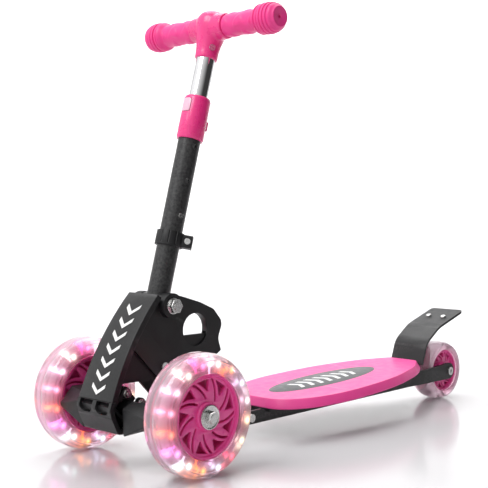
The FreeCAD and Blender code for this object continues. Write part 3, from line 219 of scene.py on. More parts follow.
def pink(name, colour, dark, gloss, grain_mm, grain_depth, coat=0.0):
    """Pink moulded plastic or rubber with faint flow clouds and a fine grain."""
    finish = Finish(name, colour, gloss)
    finish.colour(finish.clouds(35, 3, dark, colour, 0.25, 0.75))
    finish.roughness(finish.spread(finish.noise(11, 4), gloss - 0.05, gloss + 0.07))
    finish.bump(finish.noise(grain_mm, 3), grain_depth, 0.5)
    finish.set("Subsurface Weight", 0.12)
    finish.set("Subsurface Radius", (0.004, 0.001, 0.002))
    finish.set("Subsurface Scale", 0.5)
    finish.set("Coat Weight", coat)
    finish.set("Coat Roughness", 0.18)
    return finish.material


def chrome():
    finish = Finish("chrome", (0.80, 0.80, 0.81), 0.06, 1.0)
    finish.roughness(finish.spread(finish.noise(5, 5, (1, 1, 0.15)), 0.04, 0.12))
    finish.bump(finish.noise(12, 2), 0.02, 0.25)
    finish.colour(finish.clouds(20, 3, (0.74, 0.74, 0.75), (0.84, 0.84, 0.85)))
    return finish.material


def zinc():
    """Bright zinc plate: crystalline mottling and machined scuffs."""
    finish = Finish("zinc", (0.66, 0.67, 0.66), 0.26, 1.0)
    finish.colour(finish.clouds(2.5, 4, (0.60, 0.60, 0.59), (0.72, 0.72, 0.71)))
    finish.roughness(finish.spread(finish.noise(1.5, 4), 0.20, 0.30))
    finish.bump(finish.noise(1.0, 3), 0.015, 0.3)
    return finish.material


def spring_steel():
    finish = Finish("spring_steel", (0.36, 0.36, 0.37), 0.34, 1.0)
    finish.colour(finish.clouds(3, 4, (0.25, 0.25, 0.26), (0.45, 0.45, 0.46)))
    finish.bump(finish.noise(0.8, 3), 0.02, 0.5)
    return finish.material


def label():
    """Charcoal label under a clear film."""
    finish = Finish("label", (0.045, 0.047, 0.052), 0.4)
    finish.colour(finish.clouds(18, 4, (0.040, 0.043, 0.048), (0.060, 0.063, 0.070)))
    finish.roughness(finish.spread(finish.noise(7, 4), 0.34, 0.46))
    finish.bump(finish.noise(1.2, 3), 0.03, 0.4)
    return finish.material


def white_print():
    """White screen print, slightly worn through."""
    finish = Finish("white_print", (0.84, 0.84, 0.83), 0.42)
    finish.colour(finish.clouds(2.2, 5, (0.55, 0.55, 0.55), (0.86, 0.86, 0.85), 0.22, 0.40))
    finish.bump(finish.noise(0.8, 3), 0.03, 0.4)
    return finish.material


MATERIALS = {
    "painted_black": powder_coat(),
    "black_plastic": black_plastic(),
    "black_rubber": black_rubber(),
    "pink_pad": pink("pink_pad", (0.93, 0.085, 0.36), (0.88, 0.072, 0.33), 0.42, 0.7, 0.05),
    "pink_plastic": pink("pink_plastic", (0.84, 0.035, 0.24), (0.78, 0.028, 0.21), 0.28, 1.2, 0.02, 0.3),
    "hub_pink": pink("hub_pink", (0.90, 0.080, 0.36), (0.86, 0.070, 0.33), 0.30, 1.2, 0.02, 0.3),
    "pink_rubber": pink("pink_rubber", (0.85, 0.045, 0.27), (0.80, 0.038, 0.24), 0.40, 0.6, 0.04),
    "pale_plastic": pink("pale_plastic", (0.86, 0.50, 0.62), (0.82, 0.45, 0.58), 0.30, 1.0, 0.02, 0.3),
    "chrome_tube": chrome(),
    "zinc": zinc(),
    "spring_steel": spring_steel(),
    "dark_label": label(),
    "white_mark": white_print(),
}


# ---- mesh kit ------------------------------------------------------------------------
def new_object(name, bm, material, smooth_deg=35):
    mesh = bpy.data.meshes.new(name)
    bmesh.ops.recalc_face_normals(bm, faces=bm.faces)
    bm.to_mesh(mesh)
    bm.free()
    obj = bpy.data.objects.new(name, mesh)
    bpy.context.collection.objects.link(obj)
    mesh.materials.append(material)
    finish_shading(obj, smooth_deg)
    return obj


def finish_shading(obj, smooth_deg=35):
    """Smooth shading that keeps edges sharper than the angle."""
    obj.data.shade_smooth()
    obj.data.set_sharp_from_angle(angle=math.radians(smooth_deg))


def lathe(bm, profile, segments, matrix):
    """Turn an open or closed (x, radius) profile about the X axis; r = 0 closes to a point."""
    rings = []
    for x, r in profile:
        if r <= 1e-7:
            rings.append([bm.verts.new(matrix @ Vector((x, 0, 0)))])
            continue
        ring = []
        for i in range(segments):
            angle = 2 * math.pi * i / segments
            ring.append(bm.verts.new(matrix @ Vector((x, r * math.cos(angle), r * math.sin(angle)))))
        rings.append(ring)
    for a, b in zip(rings, rings[1:]):
        for i in range(segments):
            j = (i + 1) % segments
            corners = [a[i % len(a)], a[j % len(a)], b[j % len(b)], b[i % len(b)]]
            unique = list(dict.fromkeys(corners))
            if len(unique) > 2:
                bm.faces.new(unique)


def smooth_profile(points, rounds=2, closed=False):
    """Chaikin corner cutting, so a few points make a soft line."""
    for _ in range(rounds):
        out = [] if closed else [points[0]]
        pairs = list(zip(points, points[1:] + points[:1])) if closed else list(zip(points, points[1:]))
        for a, b in pairs:
            out.append(tuple(p * 0.75 + q * 0.25 for p, q in zip(a, b)))
            out.append(tuple(p * 0.25 + q * 0.75 for p, q in zip(a, b)))
        if not closed:
            out.append(points[-1])
        points = out
    return points


def plate_object(name, loops, thick, bevel, matrix, material):
    """A flat plate from 2-D loops (outer loop first, then its holes), with softly rounded edges."""
    curve = bpy.data.curves.new(name, "CURVE")
    curve.dimensions = "2D"
    curve.fill_mode = "BOTH"
    for loop in loops:
        spline = curve.splines.new("POLY")
        spline.points.add(len(loop) - 1)
        for point, (a, b) in zip(spline.points, loop):
            point.co = (a, b, 0, 1)
        spline.use_cyclic_u = True
    curve.extrude = thick / 2 - bevel
    curve.bevel_depth = bevel
    curve.bevel_resolution = 1
    curve.offset = -bevel
    temp = bpy.data.objects.new(name + "_curve", curve)
    bpy.context.collection.objects.link(temp)
    mesh = bpy.data.meshes.new_from_object(temp)
    bpy.data.objects.remove(temp)
    bm = bmesh.new()
    bm.from_mesh(mesh)
    bpy.data.meshes.remove(mesh)
    bmesh.ops.remove_doubles(bm, verts=bm.verts, dist=1e-6)
    bm.transform(matrix)
    return new_object(name, bm, material)


def piece(obj, body, slot_name, *replaced):
    """Attach a piece to the body it rides on and hide the CAD nodes it stands in for; slot_name is not used.
    """
    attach(obj, body)
    if replaced:
        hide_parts(*replaced)
    return obj


# Flat drawings are made in (Y, Z); this matrix stands them up so that +Z of the plate is +X.
def facing_x(centre):
    return Matrix.Translation(centre) @ Matrix(((0, 0, 1, 0), (1, 0, 0, 0), (0, 1, 0, 0), (0, 0, 0, 1)))


# ---- wheels --------------------------------------------------------------------------
LAMP_COLOURS = (
    (1.0, 0.92, 0.95), (0.80, 0.85, 1.0), (1.0, 0.35, 0.08), (1.0, 1.0, 1.0),
    (1.0, 0.15, 0.45), (1.0, 0.95, 0.80), (1.0, 0.75, 0.90), (1.0, 0.35, 0.50),
    (1.0, 0.22, 0.10), (1.0, 0.30, 0.85), (0.70, 1.0, 0.95), (1.0, 0.38, 0.08),
    (0.72, 0.88, 1.0), (1.0, 0.08, 0.15), (1.0, 0.95, 0.65), (1.0, 0.75, 0.45))
SPOKES = 9


def polar(r, degrees):
    angle = math.radians(degrees)
    return (r * math.cos(angle), r * math.sin(angle))


def circle(r, count=96):
    return [polar(r, 360 * i / count) for i in range(count)]


def swirl(r, r_in, r_out):
    """How far the slim slots lag behind their rim end, in degrees, at a radius."""
    return -26.0 * (1 - (r - r_in) / (r_out - r_in))


def hub_holes(core, rim):
    """Outlines of the hub's wide pockets and slim slots, in a swirl."""
    pitch = 360.0 / SPOKES
    slot_in, slot_out = core * 1.22, rim * 0.925
    pocket_in, pocket_out = core + (rim - core) * 0.40, rim * 0.915
    loops = []
    for i in range(SPOKES):
        start = i * pitch
        steps = 6
        low, high, inner, outer = [], [], [], []
        for k in range(steps + 1):
            t = k / steps
            r = pocket_in + (pocket_out - pocket_in) * t
            base = start + swirl(r, slot_in, slot_out)
            high.append(polar(r, base - (6.6 + 6.5 * (1 - t))))
            low.append(polar(r, base - pitch + (6.4 + 17.0 * (1 - t))))
        loops.append(smooth_profile(high + low[::-1], 2, True))
        for k in range(steps + 1):
            t = k / steps
            r = slot_in + (slot_out - slot_in) * t
            base = start + swirl(r, slot_in, slot_out)
            half = math.degrees((0.030 + 0.012 * t) * rim / r)
            inner.append(polar(r, base + half))
            outer.append(polar(r, base - half))
        loops.append(smooth_profile(inner + outer[::-1], 2, True))
    return loops


def scaled(points, factor):
    return [(a * factor, b * factor) for a, b in points]


def hub_pieces(name, body, centre, half, rim_r, core_r):
    """Spoked faces on both sides, the web between them, the rim and the bearing seats."""
    material = MATERIALS["hub_pink"]
    face_thick = 5.0 * MM
    holes = hub_holes(core_r / MM, rim_r / MM - 1.5)
    bm = bmesh.new()
    for side in (1, -1):
        outer = circle(rim_r / MM - 1.5, 128)
        loops = [scaled(loop, MM) for loop in [outer, circle(core_r / MM, 64)] + holes]
        place = Matrix.Translation((side * (half - 3.2 * MM - face_thick / 2), 0, 0))
        face = plate_object(name + "_face", loops, face_thick, 0.5 * MM, facing_x(centre), material)
        face.data.transform(place)
        bm.from_mesh(face.data)
        bpy.data.objects.remove(face)
    m = Matrix.Translation(centre)
    rim = [(-half, rim_r - 0.8 * MM), (-half + 0.8 * MM, rim_r),
           (half - 0.8 * MM, rim_r), (half, rim_r - 0.8 * MM), (half, rim_r - 2.4 * MM),
           (half - 0.8 * MM, rim_r - 3.0 * MM), (half - 4 * MM, rim_r - 3.4 * MM),
           (2 * MM, rim_r - 5.2 * MM), (-2 * MM, rim_r - 5.2 * MM), (-half + 4 * MM, rim_r - 3.4 * MM),
           (-half + 0.8 * MM, rim_r - 3.0 * MM), (-half, rim_r - 2.4 * MM), (-half, rim_r - 0.8 * MM)]
    lathe(bm, rim, 128, m)
    core = [(-half, 11.05 * MM), (-half, core_r - 1.0 * MM), (-half + 1.0 * MM, core_r),
            (-half + 9 * MM, core_r + 1.2 * MM), (half - 9 * MM, core_r + 1.2 * MM),
            (half - 1.0 * MM, core_r), (half, core_r - 1.0 * MM), (half, 11.05 * MM),
            (half - 7.2 * MM, 11.05 * MM), (half - 7.2 * MM, 9.0 * MM), (-half + 7.2 * MM, 9.0 * MM),
            (-half + 7.2 * MM, 11.05 * MM), (-half, 11.05 * MM)]
    lathe(bm, core, 96, m)
    web = [(-1.2 * MM, core_r), (-1.2 * MM, rim_r - 5 * MM), (1.2 * MM, rim_r - 5 * MM), (1.2 * MM, core_r),
           (-1.2 * MM, core_r)]
    lathe(bm, web, 96, m)
    obj = new_object(name + "_hub_moulding", bm, material, 40)
    return piece(obj, body, "pink_plastic", name + "_hub")


def clear_tyre_material(name, centre, lamp_r, glow):
    """Clear polyurethane, milky towards the hub, with painted glow: the tyre itself emits a halo round every
    lamp inside it.
    """
    finish = Finish(name, (0.86, 0.70, 0.78), 0.09)
    finish.set("Transmission Weight", 0.72)
    finish.set("IOR", 1.38)
    finish.set("Specular IOR Level", 0.6)
    finish.set("Coat Weight", 0.4)
    finish.set("Coat Roughness", 0.06)
    finish.bump(finish.noise(16, 2), 0.05, 0.3)
    finish.bump(finish.noise(2.5, 3), 0.02, 0.35)
    finish.roughness(finish.spread(finish.noise(12, 4), 0.06, 0.15))
    split = finish.add("ShaderNodeSeparateXYZ")
    finish.link(finish.place, split.inputs[0])
    y = finish.math("SUBTRACT", split.outputs[1], centre.y)
    z = finish.math("SUBTRACT", split.outputs[2], centre.z)
    y_squared, z_squared = finish.math("MULTIPLY", y, y), finish.math("MULTIPLY", z, z)
    radius = finish.math("SQRT", finish.math("ADD", y_squared, z_squared))
    tint = finish.math("DIVIDE", radius, node_box_radius(name))
    milky = finish.ramp(tint, ((0.66, (0.84, 0.26, 0.46)), (0.80, (0.80, 0.52, 0.64)),
                               (0.97, (0.84, 0.70, 0.77))))
    finish.colour(milky)
    if not glow:
        return finish.material
    # Painted glow: emission on the tyre's own surface, in soft spots round each lamp place, stands in for the
    # lamps' light spreading through the clear tyre.
    turn = finish.math("DIVIDE", finish.math("ARCTAN2", z, y), 2 * math.pi)
    count = len(LAMP_COLOURS)
    lap = finish.math("FRACT", finish.math("ADD", turn, 1.0))
    place = finish.math("SUBTRACT", finish.math("MULTIPLY", lap, count), 0.5)
    index = finish.math("ROUND", place)
    across = finish.math("MULTIPLY", finish.math("SUBTRACT", place, index), 2 * math.pi * lamp_r / count)
    along = finish.math("SUBTRACT", radius, lamp_r)
    across_squared = finish.math("MULTIPLY", across, across)
    along_squared = finish.math("MULTIPLY", along, along)
    distance_squared = finish.math("ADD", across_squared, along_squared)
    core = finish.math("POWER", math.e, finish.math("DIVIDE", distance_squared, -LAMP_CORE_R * LAMP_CORE_R))
    haze = finish.math("POWER", math.e, finish.math("DIVIDE", distance_squared, -LAMP_HAZE_R * LAMP_HAZE_R))
    halo = finish.math("ADD", finish.math("MULTIPLY", core, 1.9), finish.math("MULTIPLY", haze, 0.16))
    stops = finish.add("ShaderNodeValToRGB")
    stops.color_ramp.interpolation = "CONSTANT"
    while len(stops.color_ramp.elements) < count:
        stops.color_ramp.elements.new(0.5)
    for i, (element, colour) in enumerate(zip(stops.color_ramp.elements, LAMP_COLOURS)):
        element.position = i / count
        element.color = (*colour, 1)
    finish.link(finish.math("DIVIDE", finish.math("ADD", index, 0.25), count), stops.inputs[0])
    finish.link(stops.outputs[0], finish.shader.inputs["Emission Color"])
    finish.link(halo, finish.shader.inputs["Emission Strength"])
    return finish.material


def node_box_radius(name):
    node = name.replace("_clear", "")
    low, high = node_box(node)
    return (high.z - low.z) / 2


def tyre_piece(name, body, centre, half, outer, inner, glow):
    """Clear tyre with a crowned tread, two fine ribs each side and an open channel inside."""
    bm = bmesh.new()
    right = [(half - 2.2 * MM, inner + 0.1 * MM), (half - 0.6 * MM, inner + 1.2 * MM),
             (half, inner + 4.5 * MM), (half, outer * 0.80), (half - 0.3 * MM, outer * 0.86)]
    rib = outer * 0.87
    right += [(half - 0.3 * MM, rib), (half - 0.9 * MM, rib + 0.5 * MM), (half - 0.9 * MM, rib + 1.2 * MM),
              (half - 0.6 * MM, rib + 1.7 * MM), (half * 0.90, outer * 0.925), (half * 0.78, outer * 0.962),
              (half * 0.55, outer * 0.987), (half * 0.28, outer * 0.9985), (0.0, outer)]
    right = smooth_profile(right, 2)
    profile = [(-x, r) for x, r in right] + right[::-1][1:]
    channel = 4.6 * MM
    roof = inner + (outer - inner) * 0.68
    inside = [(half - 2.2 * MM, inner + 0.1 * MM), (channel, inner + 0.1 * MM), (channel, roof - 2.5 * MM),
              (channel * 0.5, roof), (-channel * 0.5, roof), (-channel, roof - 2.5 * MM),
              (-channel, inner + 0.1 * MM),
              (-half + 2.2 * MM, inner + 0.1 * MM)]
    if not glow:
        inside = [(half - 2.2 * MM, inner + 0.1 * MM), (-half + 2.2 * MM, inner + 0.1 * MM)]
    lathe(bm, profile + inside[1:], 160, Matrix.Translation(centre))
    bmesh.ops.remove_doubles(bm, verts=bm.verts, dist=1e-7)
    lamp_r = LAMP_RING_R
    material = clear_tyre_material(name + "_tyre_clear", centre, lamp_r, glow)
    obj = new_object(name + "_tyre_moulding", bm, material, 50)
    return piece(obj, body, "clear_tyre", name + "_tyre")


LAMP_RING_R = 0.0605
LAMP_CORE_R = 0.0034
LAMP_HAZE_R = 0.0085


def lamp_material(index, colour):
    finish = Finish(f"lamp_{index:02d}", colour, 0.3)
    finish.set("Emission Color", (*colour, 1))
    finish.link(finish.spread(finish.noise(1.5, 2), 2.2, 3.2), finish.shader.inputs["Emission Strength"])
    return finish.material


def strip_material():
    """Flexible white lamp strip."""
    finish = Finish("lamp_strip", (0.85, 0.80, 0.82), 0.45)
    finish.colour(finish.clouds(4, 3, (0.80, 0.62, 0.70), (0.88, 0.80, 0.84)))
    finish.bump(finish.noise(1.2, 2), 0.04, 0.5)
    return finish.material


LAMPS = [lamp_material(i, colour) for i, colour in enumerate(LAMP_COLOURS)]
STRIP = strip_material()


def lights_piece(name, body, centre, rim_r):
    """The lamp strip inside a front tyre, with its ring of small domed lamps."""
    bm = bmesh.new()
    ring = [(-3.4 * MM, rim_r + 0.3 * MM), (-3.4 * MM, rim_r + 2.2 * MM), (3.4 * MM, rim_r + 2.2 * MM),
            (3.4 * MM, rim_r + 0.3 * MM), (-3.4 * MM, rim_r + 0.3 * MM)]
    lathe(bm, ring, 128, Matrix.Translation(centre))
    count = len(LAMP_COLOURS)
    for i in range(count):
        angle = 2 * math.pi * (i + 0.5) / count
        out = Vector((0, math.cos(angle), math.sin(angle)))
        facing_out = out.to_track_quat("X", "Z").to_matrix().to_4x4()
        turn = Matrix.Translation(centre + out * (LAMP_RING_R - 2.6 * MM)) @ facing_out
        dome = [(-7.5, 1.2), (-1.6, 1.4), (-1.2, 2.6), (1.2, 2.7), (2.6, 2.2), (3.6, 1.2), (3.9, 0)]
        dome = scaled(dome, MM)
        start = len(bm.faces)
        lathe(bm, smooth_profile(dome, 1), 20, turn)
        bm.faces.ensure_lookup_table()
        for face in bm.faces[start:]:
            face.material_index = i + 1
    obj = new_object(name + "_lamp_ring", bm, STRIP, 40)
    for material in LAMPS:
        obj.data.materials.append(material)
    return piece(obj, body, "lamp", name + "_lights")


def front_wheel(name):
    body = name + "_wheel"
    low, high = node_box(name + "_tyre")
    centre = (low + high) / 2
    hub_low, hub_high = node_box(name + "_hub")
    half = (hub_high.x - hub_low.x) / 2
    rim_r = (hub_high.z - hub_low.z) / 2
    hub_pieces(name, body, centre, half, rim_r, 16.5 * MM)
    tyre_piece(name, body, centre, (high.x - low.x) / 2, (high.z - low.z) / 2, rim_r, True)
    lights_piece(name, body, centre, rim_r)


def rear_wheel():
    low, high = node_box("rear_tyre")
    centre = (low + high) / 2
    hub_low, hub_high = node_box("rear_hub")
    half = (hub_high.x - hub_low.x) / 2
    rim_r = (hub_high.z - hub_low.z) / 2
    hub_pieces("rear", "rear_wheel", centre, half, rim_r, 13.5 * MM)
    tyre_piece("rear", "rear_wheel", centre, (high.x - low.x) / 2, (high.z - low.z) / 2, rim_r, False)


front_wheel("left")
front_wheel("right")
rear_wheel()


# ---- handlebar -----------------------------------------------------------------------
def grip_piece(name, side):
    """Soft grip with an embossed wavy pattern, a ribbed ball and a dished end cap."""
    bar_z = UP_STEM.dot(node_centre(name) - PIVOT)
    segments = 96
    inner_x = 30.0
    profile = [(inner_x, 9.6), (inner_x, 13.8), (inner_x + 0.8, 14.4)]
    steps = 60
    for i in range(steps + 1):
        profile.append((inner_x + 1.5 + 52.0 * i / steps, 14.35))
    profile += [(84.5, 15.0), (86.5, 17.2), (88.5, 18.4), (90.3, 19.0)]
    for i in range(4):
        x = 93.6 + 5.0 * i
        r = 19.6 - 0.018 * (x - 101) ** 2
        profile += [(x - 2.0, r - 1.5), (x - 1.7, r - 0.2), (x - 1.0, r + 0.05), (x + 1.0, r + 0.05),
                    (x + 1.7, r - 0.2), (x + 2.0, r - 1.5), (x + 2.9, r - 1.6)]
    profile += [(112.8, 17.2), (114.5, 16.8), (116.2, 15.2), (117.6, 13.6), (118.8, 13.2), (119.6, 12.6),
                (119.8, 11.6), (119.0, 10.6), (118.9, 3.0), (118.3, 2.0), (114.0, 1.9), (114.0, 0.0)]
    bm = bmesh.new()
    rings = []
    for x, r in profile:
        if r == 0:
            rings.append([bm.verts.new((x * MM, 0, 0))])
            continue
        ring = []
        for k in range(segments):
            angle = 2 * math.pi * k / segments
            lift = 0.0
            if inner_x + 4 < x < 81 and r > 14:
                lift = wave_emboss(x - inner_x, angle)
            reach = (r + lift) * MM
            ring.append(bm.verts.new((x * MM, reach * math.cos(angle), reach * math.sin(angle))))
        rings.append(ring)
    for a, b in zip(rings, rings[1:]):
        for k in range(segments):
            j = (k + 1) % segments
            corners = list(dict.fromkeys([a[k % len(a)], a[j % len(a)], b[j % len(b)], b[k % len(b)]]))
            if len(corners) > 2:
                bm.faces.new(corners)
    flip = Matrix.Scale(side, 4, Vector((1, 0, 0)))
    bm.transform(STEM @ Matrix.Translation((0, 0, bar_z)) @ flip)
    obj = new_object(name + "_sleeve", bm, MATERIALS["pink_rubber"], 60)
    return piece(obj, "stem_upper", "pink_rubber", name)


def wave_emboss(x, angle):
    """Height in mm of the raised wavy ribs on a grip, at a place along it and round it."""
    wave = math.sin(angle * 4 + 1.3 * math.sin(x * 0.24))
    band = math.sin(x * 0.24 + 1.2 * math.cos(angle * 2))
    ridge = max(0.0, wave * 0.6 + band * 0.6)
    return 1.0 * min(1.0, ridge * 1.6)


grip_piece("left_grip", 1)
grip_piece("right_grip", -1)


def stem_height(node):
    """How far up the stem, from the fold pivot, a node's middle lies."""
    return UP_STEM.dot(node_centre(node) - PIVOT)


def baked(obj):
    """Replace an object's mesh by what its modifiers make of it."""
    graph = bpy.context.evaluated_depsgraph_get()
    mesh = bpy.data.meshes.new_from_object(obj.evaluated_get(graph))
    obj.modifiers.clear()
    old = obj.data
    obj.data = mesh
    bpy.data.meshes.remove(old)


def t_piece():
    """T-piece: neck, dome and two sockets, run together with soft fillets."""
    bar_z = stem_height("left_grip") / MM
    neck = [(-42.9, 0), (-42.9, 13.9), (-42.2, 14.6), (-29, 15.0), (-17, 17.4), (-6, 20.6), (3, 21.8),
            (11, 20.6), (17.5, 16), (21, 8.5), (21.7, 0)]
    neck = [(bar_z + up, r) for up, r in neck]
    arm = [(-29.5, 0), (-29.5, 15.4), (-28.7, 16.2), (-25, 16.4), (-12, 18.0), (12, 18.0), (25, 16.4),
           (28.7, 16.2), (29.5, 15.4), (29.5, 0)]
    bm = bmesh.new()
    upright = STEM @ Matrix.Rotation(math.radians(-90), 4, "Y")
    lathe(bm, scaled(smooth_profile(neck, 1), MM), 64, upright)
    lathe(bm, scaled(smooth_profile(arm, 1), MM), 64, STEM @ Matrix.Translation((0, 0, bar_z * MM)))
    obj = new_object("t_piece_moulding", bm, MATERIALS["pink_plastic"])
    remesh = obj.modifiers.new("union", "REMESH")
    remesh.mode = "VOXEL"
    remesh.voxel_size = 0.8 * MM
    soft = obj.modifiers.new("fillets", "SMOOTH")
    soft.factor = 0.5
    soft.iterations = 14
    baked(obj)
    finish_shading(obj, 60)
    return piece(obj, "stem_upper", "pink_plastic", "t_piece")


def deck_plane():
    """Frame of the deck's top at the label: X across, Y to the rear along the slope, Z off the deck."""
    mount = next(m for m in frame["record"]["mounts"] if m["name"] == "deck_top")
    normal = Vector(mount["axis"]).normalized()
    rear = Vector((1, 0, 0)).cross(normal) * -1
    middle = node_centre("deck_inlay")
    top = Vector(mount["pos_m"])
    middle += normal * normal.dot(top - middle)
    return Matrix.Translation(middle) @ Matrix((
        (1, rear.x, normal.x), (0, rear.y, normal.y), (0, rear.z, normal.z))).to_4x4()


def deck_label():
    """Oval charcoal label with a row of generic white arrows along it."""
    low, high = node_box("deck_inlay")
    half_x, half_y = (high.x - low.x) / 2, (high.y - low.y) / 2
    place = deck_plane()
    turns = [2 * math.pi * i / 128 for i in range(128)]
    oval = [(half_x * math.cos(turn), half_y * math.sin(turn)) for turn in turns]
    sunk = place @ Matrix.Translation((0, 0, -0.56 * MM))
    obj = plate_object("deck_label", [oval], 1.2 * MM, 0.12 * MM, sunk, MATERIALS["dark_label"])
    marks = []
    count = 7
    for i in range(count):
        y = (i - (count - 1) / 2) * 19.0
        half = 17.5 * math.sqrt(1 - (y / 100) ** 2)
        stroke = 7.5
        tip = 8.0
        outline = [(-half, y - tip / 2), (0, y + tip / 2), (half, y - tip / 2),
                   (half, y - tip / 2 + stroke), (0, y + tip / 2 + stroke), (-half, y - tip / 2 + stroke)]
        marks.append(scaled([(a, b - stroke / 2) for a, b in outline], MM))
    bm = bmesh.new()
    bm.from_mesh(obj.data)
    for outline in marks:
        base = [bm.verts.new(place @ Vector((a, b, 0.02 * MM))) for a, b in outline]
        top = [bm.verts.new(place @ Vector((a, b, 0.22 * MM))) for a, b in outline]
        faces = [bm.faces.new(top), bm.faces.new(base[::-1])]
        for a in range(len(base)):
            b = (a + 1) % len(base)
            faces.append(bm.faces.new((base[a], base[b], top[b], top[a])))
        for face in faces:
            face.material_index = 1
    bm.to_mesh(obj.data)
    bm.free()
    obj.data.materials.append(MATERIALS["white_mark"])
    return piece(obj, "frame", "dark_label", "deck_inlay")


NUT_TURN_DEG = 14      # where the hexagons' corners stand
NUT_BORE_R = 4.1


def hex_corner(x, r, i, place):
    """World place of corner i of a hexagon of corner radius r mm, at x metres along the axle."""
    angle = math.radians(60 * i + NUT_TURN_DEG)
    return place @ Vector((x, r * MM * math.cos(angle), r * MM * math.sin(angle)))


def wheel_nuts():
    """Dished zinc cups, chamfered hexagon nuts and hollow axle ends outside the front wheels."""
    low, high = node_box("front_nuts")
    centre = (low + high) / 2
    bm = bmesh.new()
    for side in (1, -1):
        outer = high.x
        start = outer - 8.1 * MM
        place = Matrix.Translation((0, centre.y, centre.z)) @ Matrix.Scale(side, 4, Vector((1, 0, 0)))
        cup = [(0.0, NUT_BORE_R), (0.0, 13.4), (0.9, 14.4), (2.0, 14.2), (2.2, 13.4), (1.4, 12.2), (1.2, 8.0),
               (1.2, NUT_BORE_R), (0.0, NUT_BORE_R)]
        lathe(bm, [(start + x * MM, r * MM) for x, r in cup], 64, place)
        flats = 6.5
        rings = []
        for x, reach in ((1.4, 0.94), (2.0, 1.0), (7.0, 1.0), (7.9, 0.92)):
            r = flats / math.cos(math.radians(30)) * reach
            rings.append([bm.verts.new(hex_corner(start + x * MM, r, i, place)) for i in range(6)])
        bore = []
        for x in (7.9, 1.4):
            bore.append([bm.verts.new(hex_corner(start + x * MM, NUT_BORE_R, i, place)) for i in range(6)])
        rings += bore
        rings.append(rings[0])
        for a, b in zip(rings, rings[1:]):
            for i in range(6):
                j = (i + 1) % 6
                bm.faces.new((a[i], a[j], b[j], b[i]))
    obj = new_object("wheel_nuts", bm, MATERIALS["zinc"], 30)
    return piece(obj, "truck", "zinc", "front_nuts")


t_piece()
deck_label()
wheel_nuts()


# ---- carried-over CAD nodes ----------------------------------------------------------
def soften(node, width_mm, angle=32):
    """Weld a CAD node's facets and round its sharp edges a little."""
    obj = frame["nodes"][node]
    weld = obj.modifiers.new("weld", "WELD")
    weld.merge_threshold = 0.00001
    bevel = obj.modifiers.new("edges", "BEVEL")
    bevel.width = width_mm * MM
    bevel.segments = 2
    bevel.limit_method = "ANGLE"
    bevel.angle_limit = math.radians(angle)
    bevel.harden_normals = False


EDGE_WIDTHS = {
    "deck_pad": 1.6, "deck_frame": 1.0, "left_rail": 0.9, "right_rail": 0.9, "front_panel": 0.8,
    "front_cradle": 1.2,
    "left_cheek": 0.7, "right_cheek": 0.7, "left_brace": 0.9, "right_brace": 0.9, "latch_keeper": 0.6,
    "brake_plate": 0.9, "brake_shoe": 0.8, "stem_gusset": 0.9, "fold_release": 0.6, "height_collar": 0.6,
    "collar_button": 0.5, "tube_clamp": 0.5, "axle_beam": 2.0, "pivot_nut": 0.5, "pivot_bolt": 0.8,
    "saddle_bolts": 0.6, "king_bolt": 0.8, "frame_bolts": 0.6, "rear_axle": 0.5, "clamp_bolt": 0.5,
    "collar_screw": 0.4, "t_piece_screw": 0.5, "steer_blocks": 0.8}
for node, width in EDGE_WIDTHS.items():
    soften(node, width)

SLOTS = {part["node"]: part["material_slot"] for part in frame["record"]["subparts"]}
for node, obj in frame["nodes"].items():
    chosen = MATERIALS.get(SLOTS[node])
    if chosen is None:
        continue
    obj.data.materials.clear()
    obj.data.materials.append(chosen)


# ---- studio --------------------------------------------------------------------------
def studio():
    """Pale glossy floor that curves up into a white backdrop."""
    bm = bmesh.new()
    rows = []
    depth = [(-4.0, 0.0), (2.2, 0.0)]
    for i in range(13):
        angle = math.radians(90 * i / 12)
        depth.append((2.2 + 1.5 * math.sin(angle), 1.5 - 1.5 * math.cos(angle)))
    depth.append((3.7, 4.5))
    look = CAMERA_TURN
    for along, height in depth:
        row = []
        for across in (-7.0, 7.0):
            ground = look @ Vector((across, along, 0))
            row.append(bm.verts.new((ground.x, ground.y, height - 0.0002)))
        rows.append(row)
    for a, b in zip(rows, rows[1:]):
        bm.faces.new((a[0], a[1], b[1], b[0]))
    finish = Finish("studio_floor", (0.80, 0.80, 0.81), 0.22)
    split = finish.add("ShaderNodeSeparateXYZ")
    finish.link(finish.place, split.inputs[0])
    # Painted shade: the sweep is coloured grey on the flat floor and brightens to white up the curve,
    # standing in for the floor getting less light than the backdrop.
    height = finish.math("MULTIPLY", split.outputs[2], 1.2)
    finish.colour(finish.ramp(height, ((0.0, (0.68, 0.67, 0.685)), (0.35, (0.95, 0.95, 0.95)))))
    finish.roughness(finish.spread(finish.noise(300, 2), 0.12, 0.18))
    finish.set("Specular IOR Level", 0.35)
    floor = new_object("studio_floor", bm, finish.material, 80)
    return floor


def area_light(name, place, target, size, power, colour=(1, 1, 1)):
    light = bpy.data.lights.new(name, "AREA")
    light.shape = "RECTANGLE"
    light.size, light.size_y = size
    light.energy = power
    light.color = colour
    obj = bpy.data.objects.new(name, light)
    obj.location = place
    obj.rotation_euler = (Vector(target) - Vector(place)).to_track_quat("-Z", "Y").to_euler()
    bpy.context.collection.objects.link(obj)


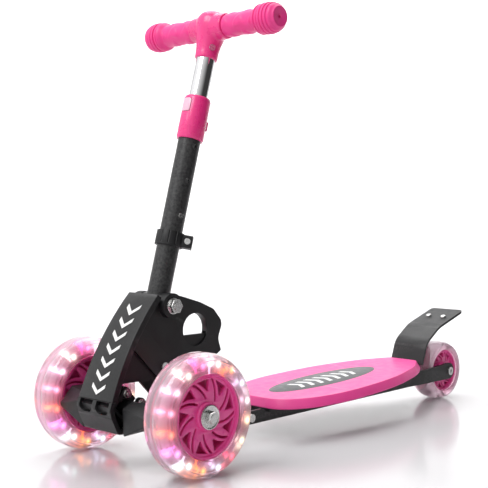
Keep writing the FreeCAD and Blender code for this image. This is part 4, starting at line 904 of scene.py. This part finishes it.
AZIMUTH = math.radians(45.68)
ELEVATION = math.radians(1.73)
CAMERA_PLACE = (0.9771, -1.1116, 0.3066)
LENS_MM = 76.84
CAMERA_SHIFT = (0.0406, -0.0037)
CAMERA_TURN = Matrix.Rotation(AZIMUTH, 3, "Z")


def camera():
    data = bpy.data.cameras.new("camera")
    data.sensor_width = 36
    data.lens = LENS_MM
    data.shift_x, data.shift_y = CAMERA_SHIFT
    obj = bpy.data.objects.new("camera", data)
    obj.location = CAMERA_PLACE
    toward = Vector((-math.sin(AZIMUTH) * math.cos(ELEVATION), math.cos(AZIMUTH) * math.cos(ELEVATION),
                     -math.sin(ELEVATION)))
    obj.rotation_euler = toward.to_track_quat("-Z", "Y").to_euler()
    bpy.context.collection.objects.link(obj)
    bpy.context.scene.camera = obj


def world():
    """White surroundings that fall off to dark on the camera's right, as beside a black flag."""
    scene_world = bpy.data.worlds.new("world")
    scene_world.use_nodes = True
    tree = scene_world.node_tree
    background = tree.nodes["Background"]
    background.inputs["Color"].default_value = (1, 1, 1, 1)
    coord = tree.nodes.new("ShaderNodeTexCoord")
    dot = tree.nodes.new("ShaderNodeVectorMath")
    dot.operation = "DOT_PRODUCT"
    dot.inputs[1].default_value = CAMERA_TURN @ Vector((1, 0, 0))
    fall = tree.nodes.new("ShaderNodeMapRange")
    fall.inputs["From Min"].default_value = -0.6
    fall.inputs["From Max"].default_value = 0.75
    fall.inputs["To Min"].default_value = 1.15
    fall.inputs["To Max"].default_value = 0.05
    tree.links.new(coord.outputs["Generated"], dot.inputs[0])
    tree.links.new(dot.outputs["Value"], fall.inputs["Value"])
    tree.links.new(fall.outputs[0], background.inputs["Strength"])
    bpy.context.scene.world = scene_world


camera()
studio()
world()
area_light("key", CAMERA_TURN @ Vector((-1.5, -1.3, 2.4)), (0, 0, 0.2), (1.4, 1.4), 38)
area_light("top", CAMERA_TURN @ Vector((0.2, 0.9, 2.8)), (0, 0, 0.1), (2.4, 2.4), 42)
area_light("backdrop", CAMERA_TURN @ Vector((0.0, 1.4, 2.6)), CAMERA_TURN @ Vector((0, 3.4, 1.0)),
           (4.0, 1.0), 70)
bpy.context.scene.view_settings.view_transform = "Standard"
bpy.context.scene.view_settings.look = "None"
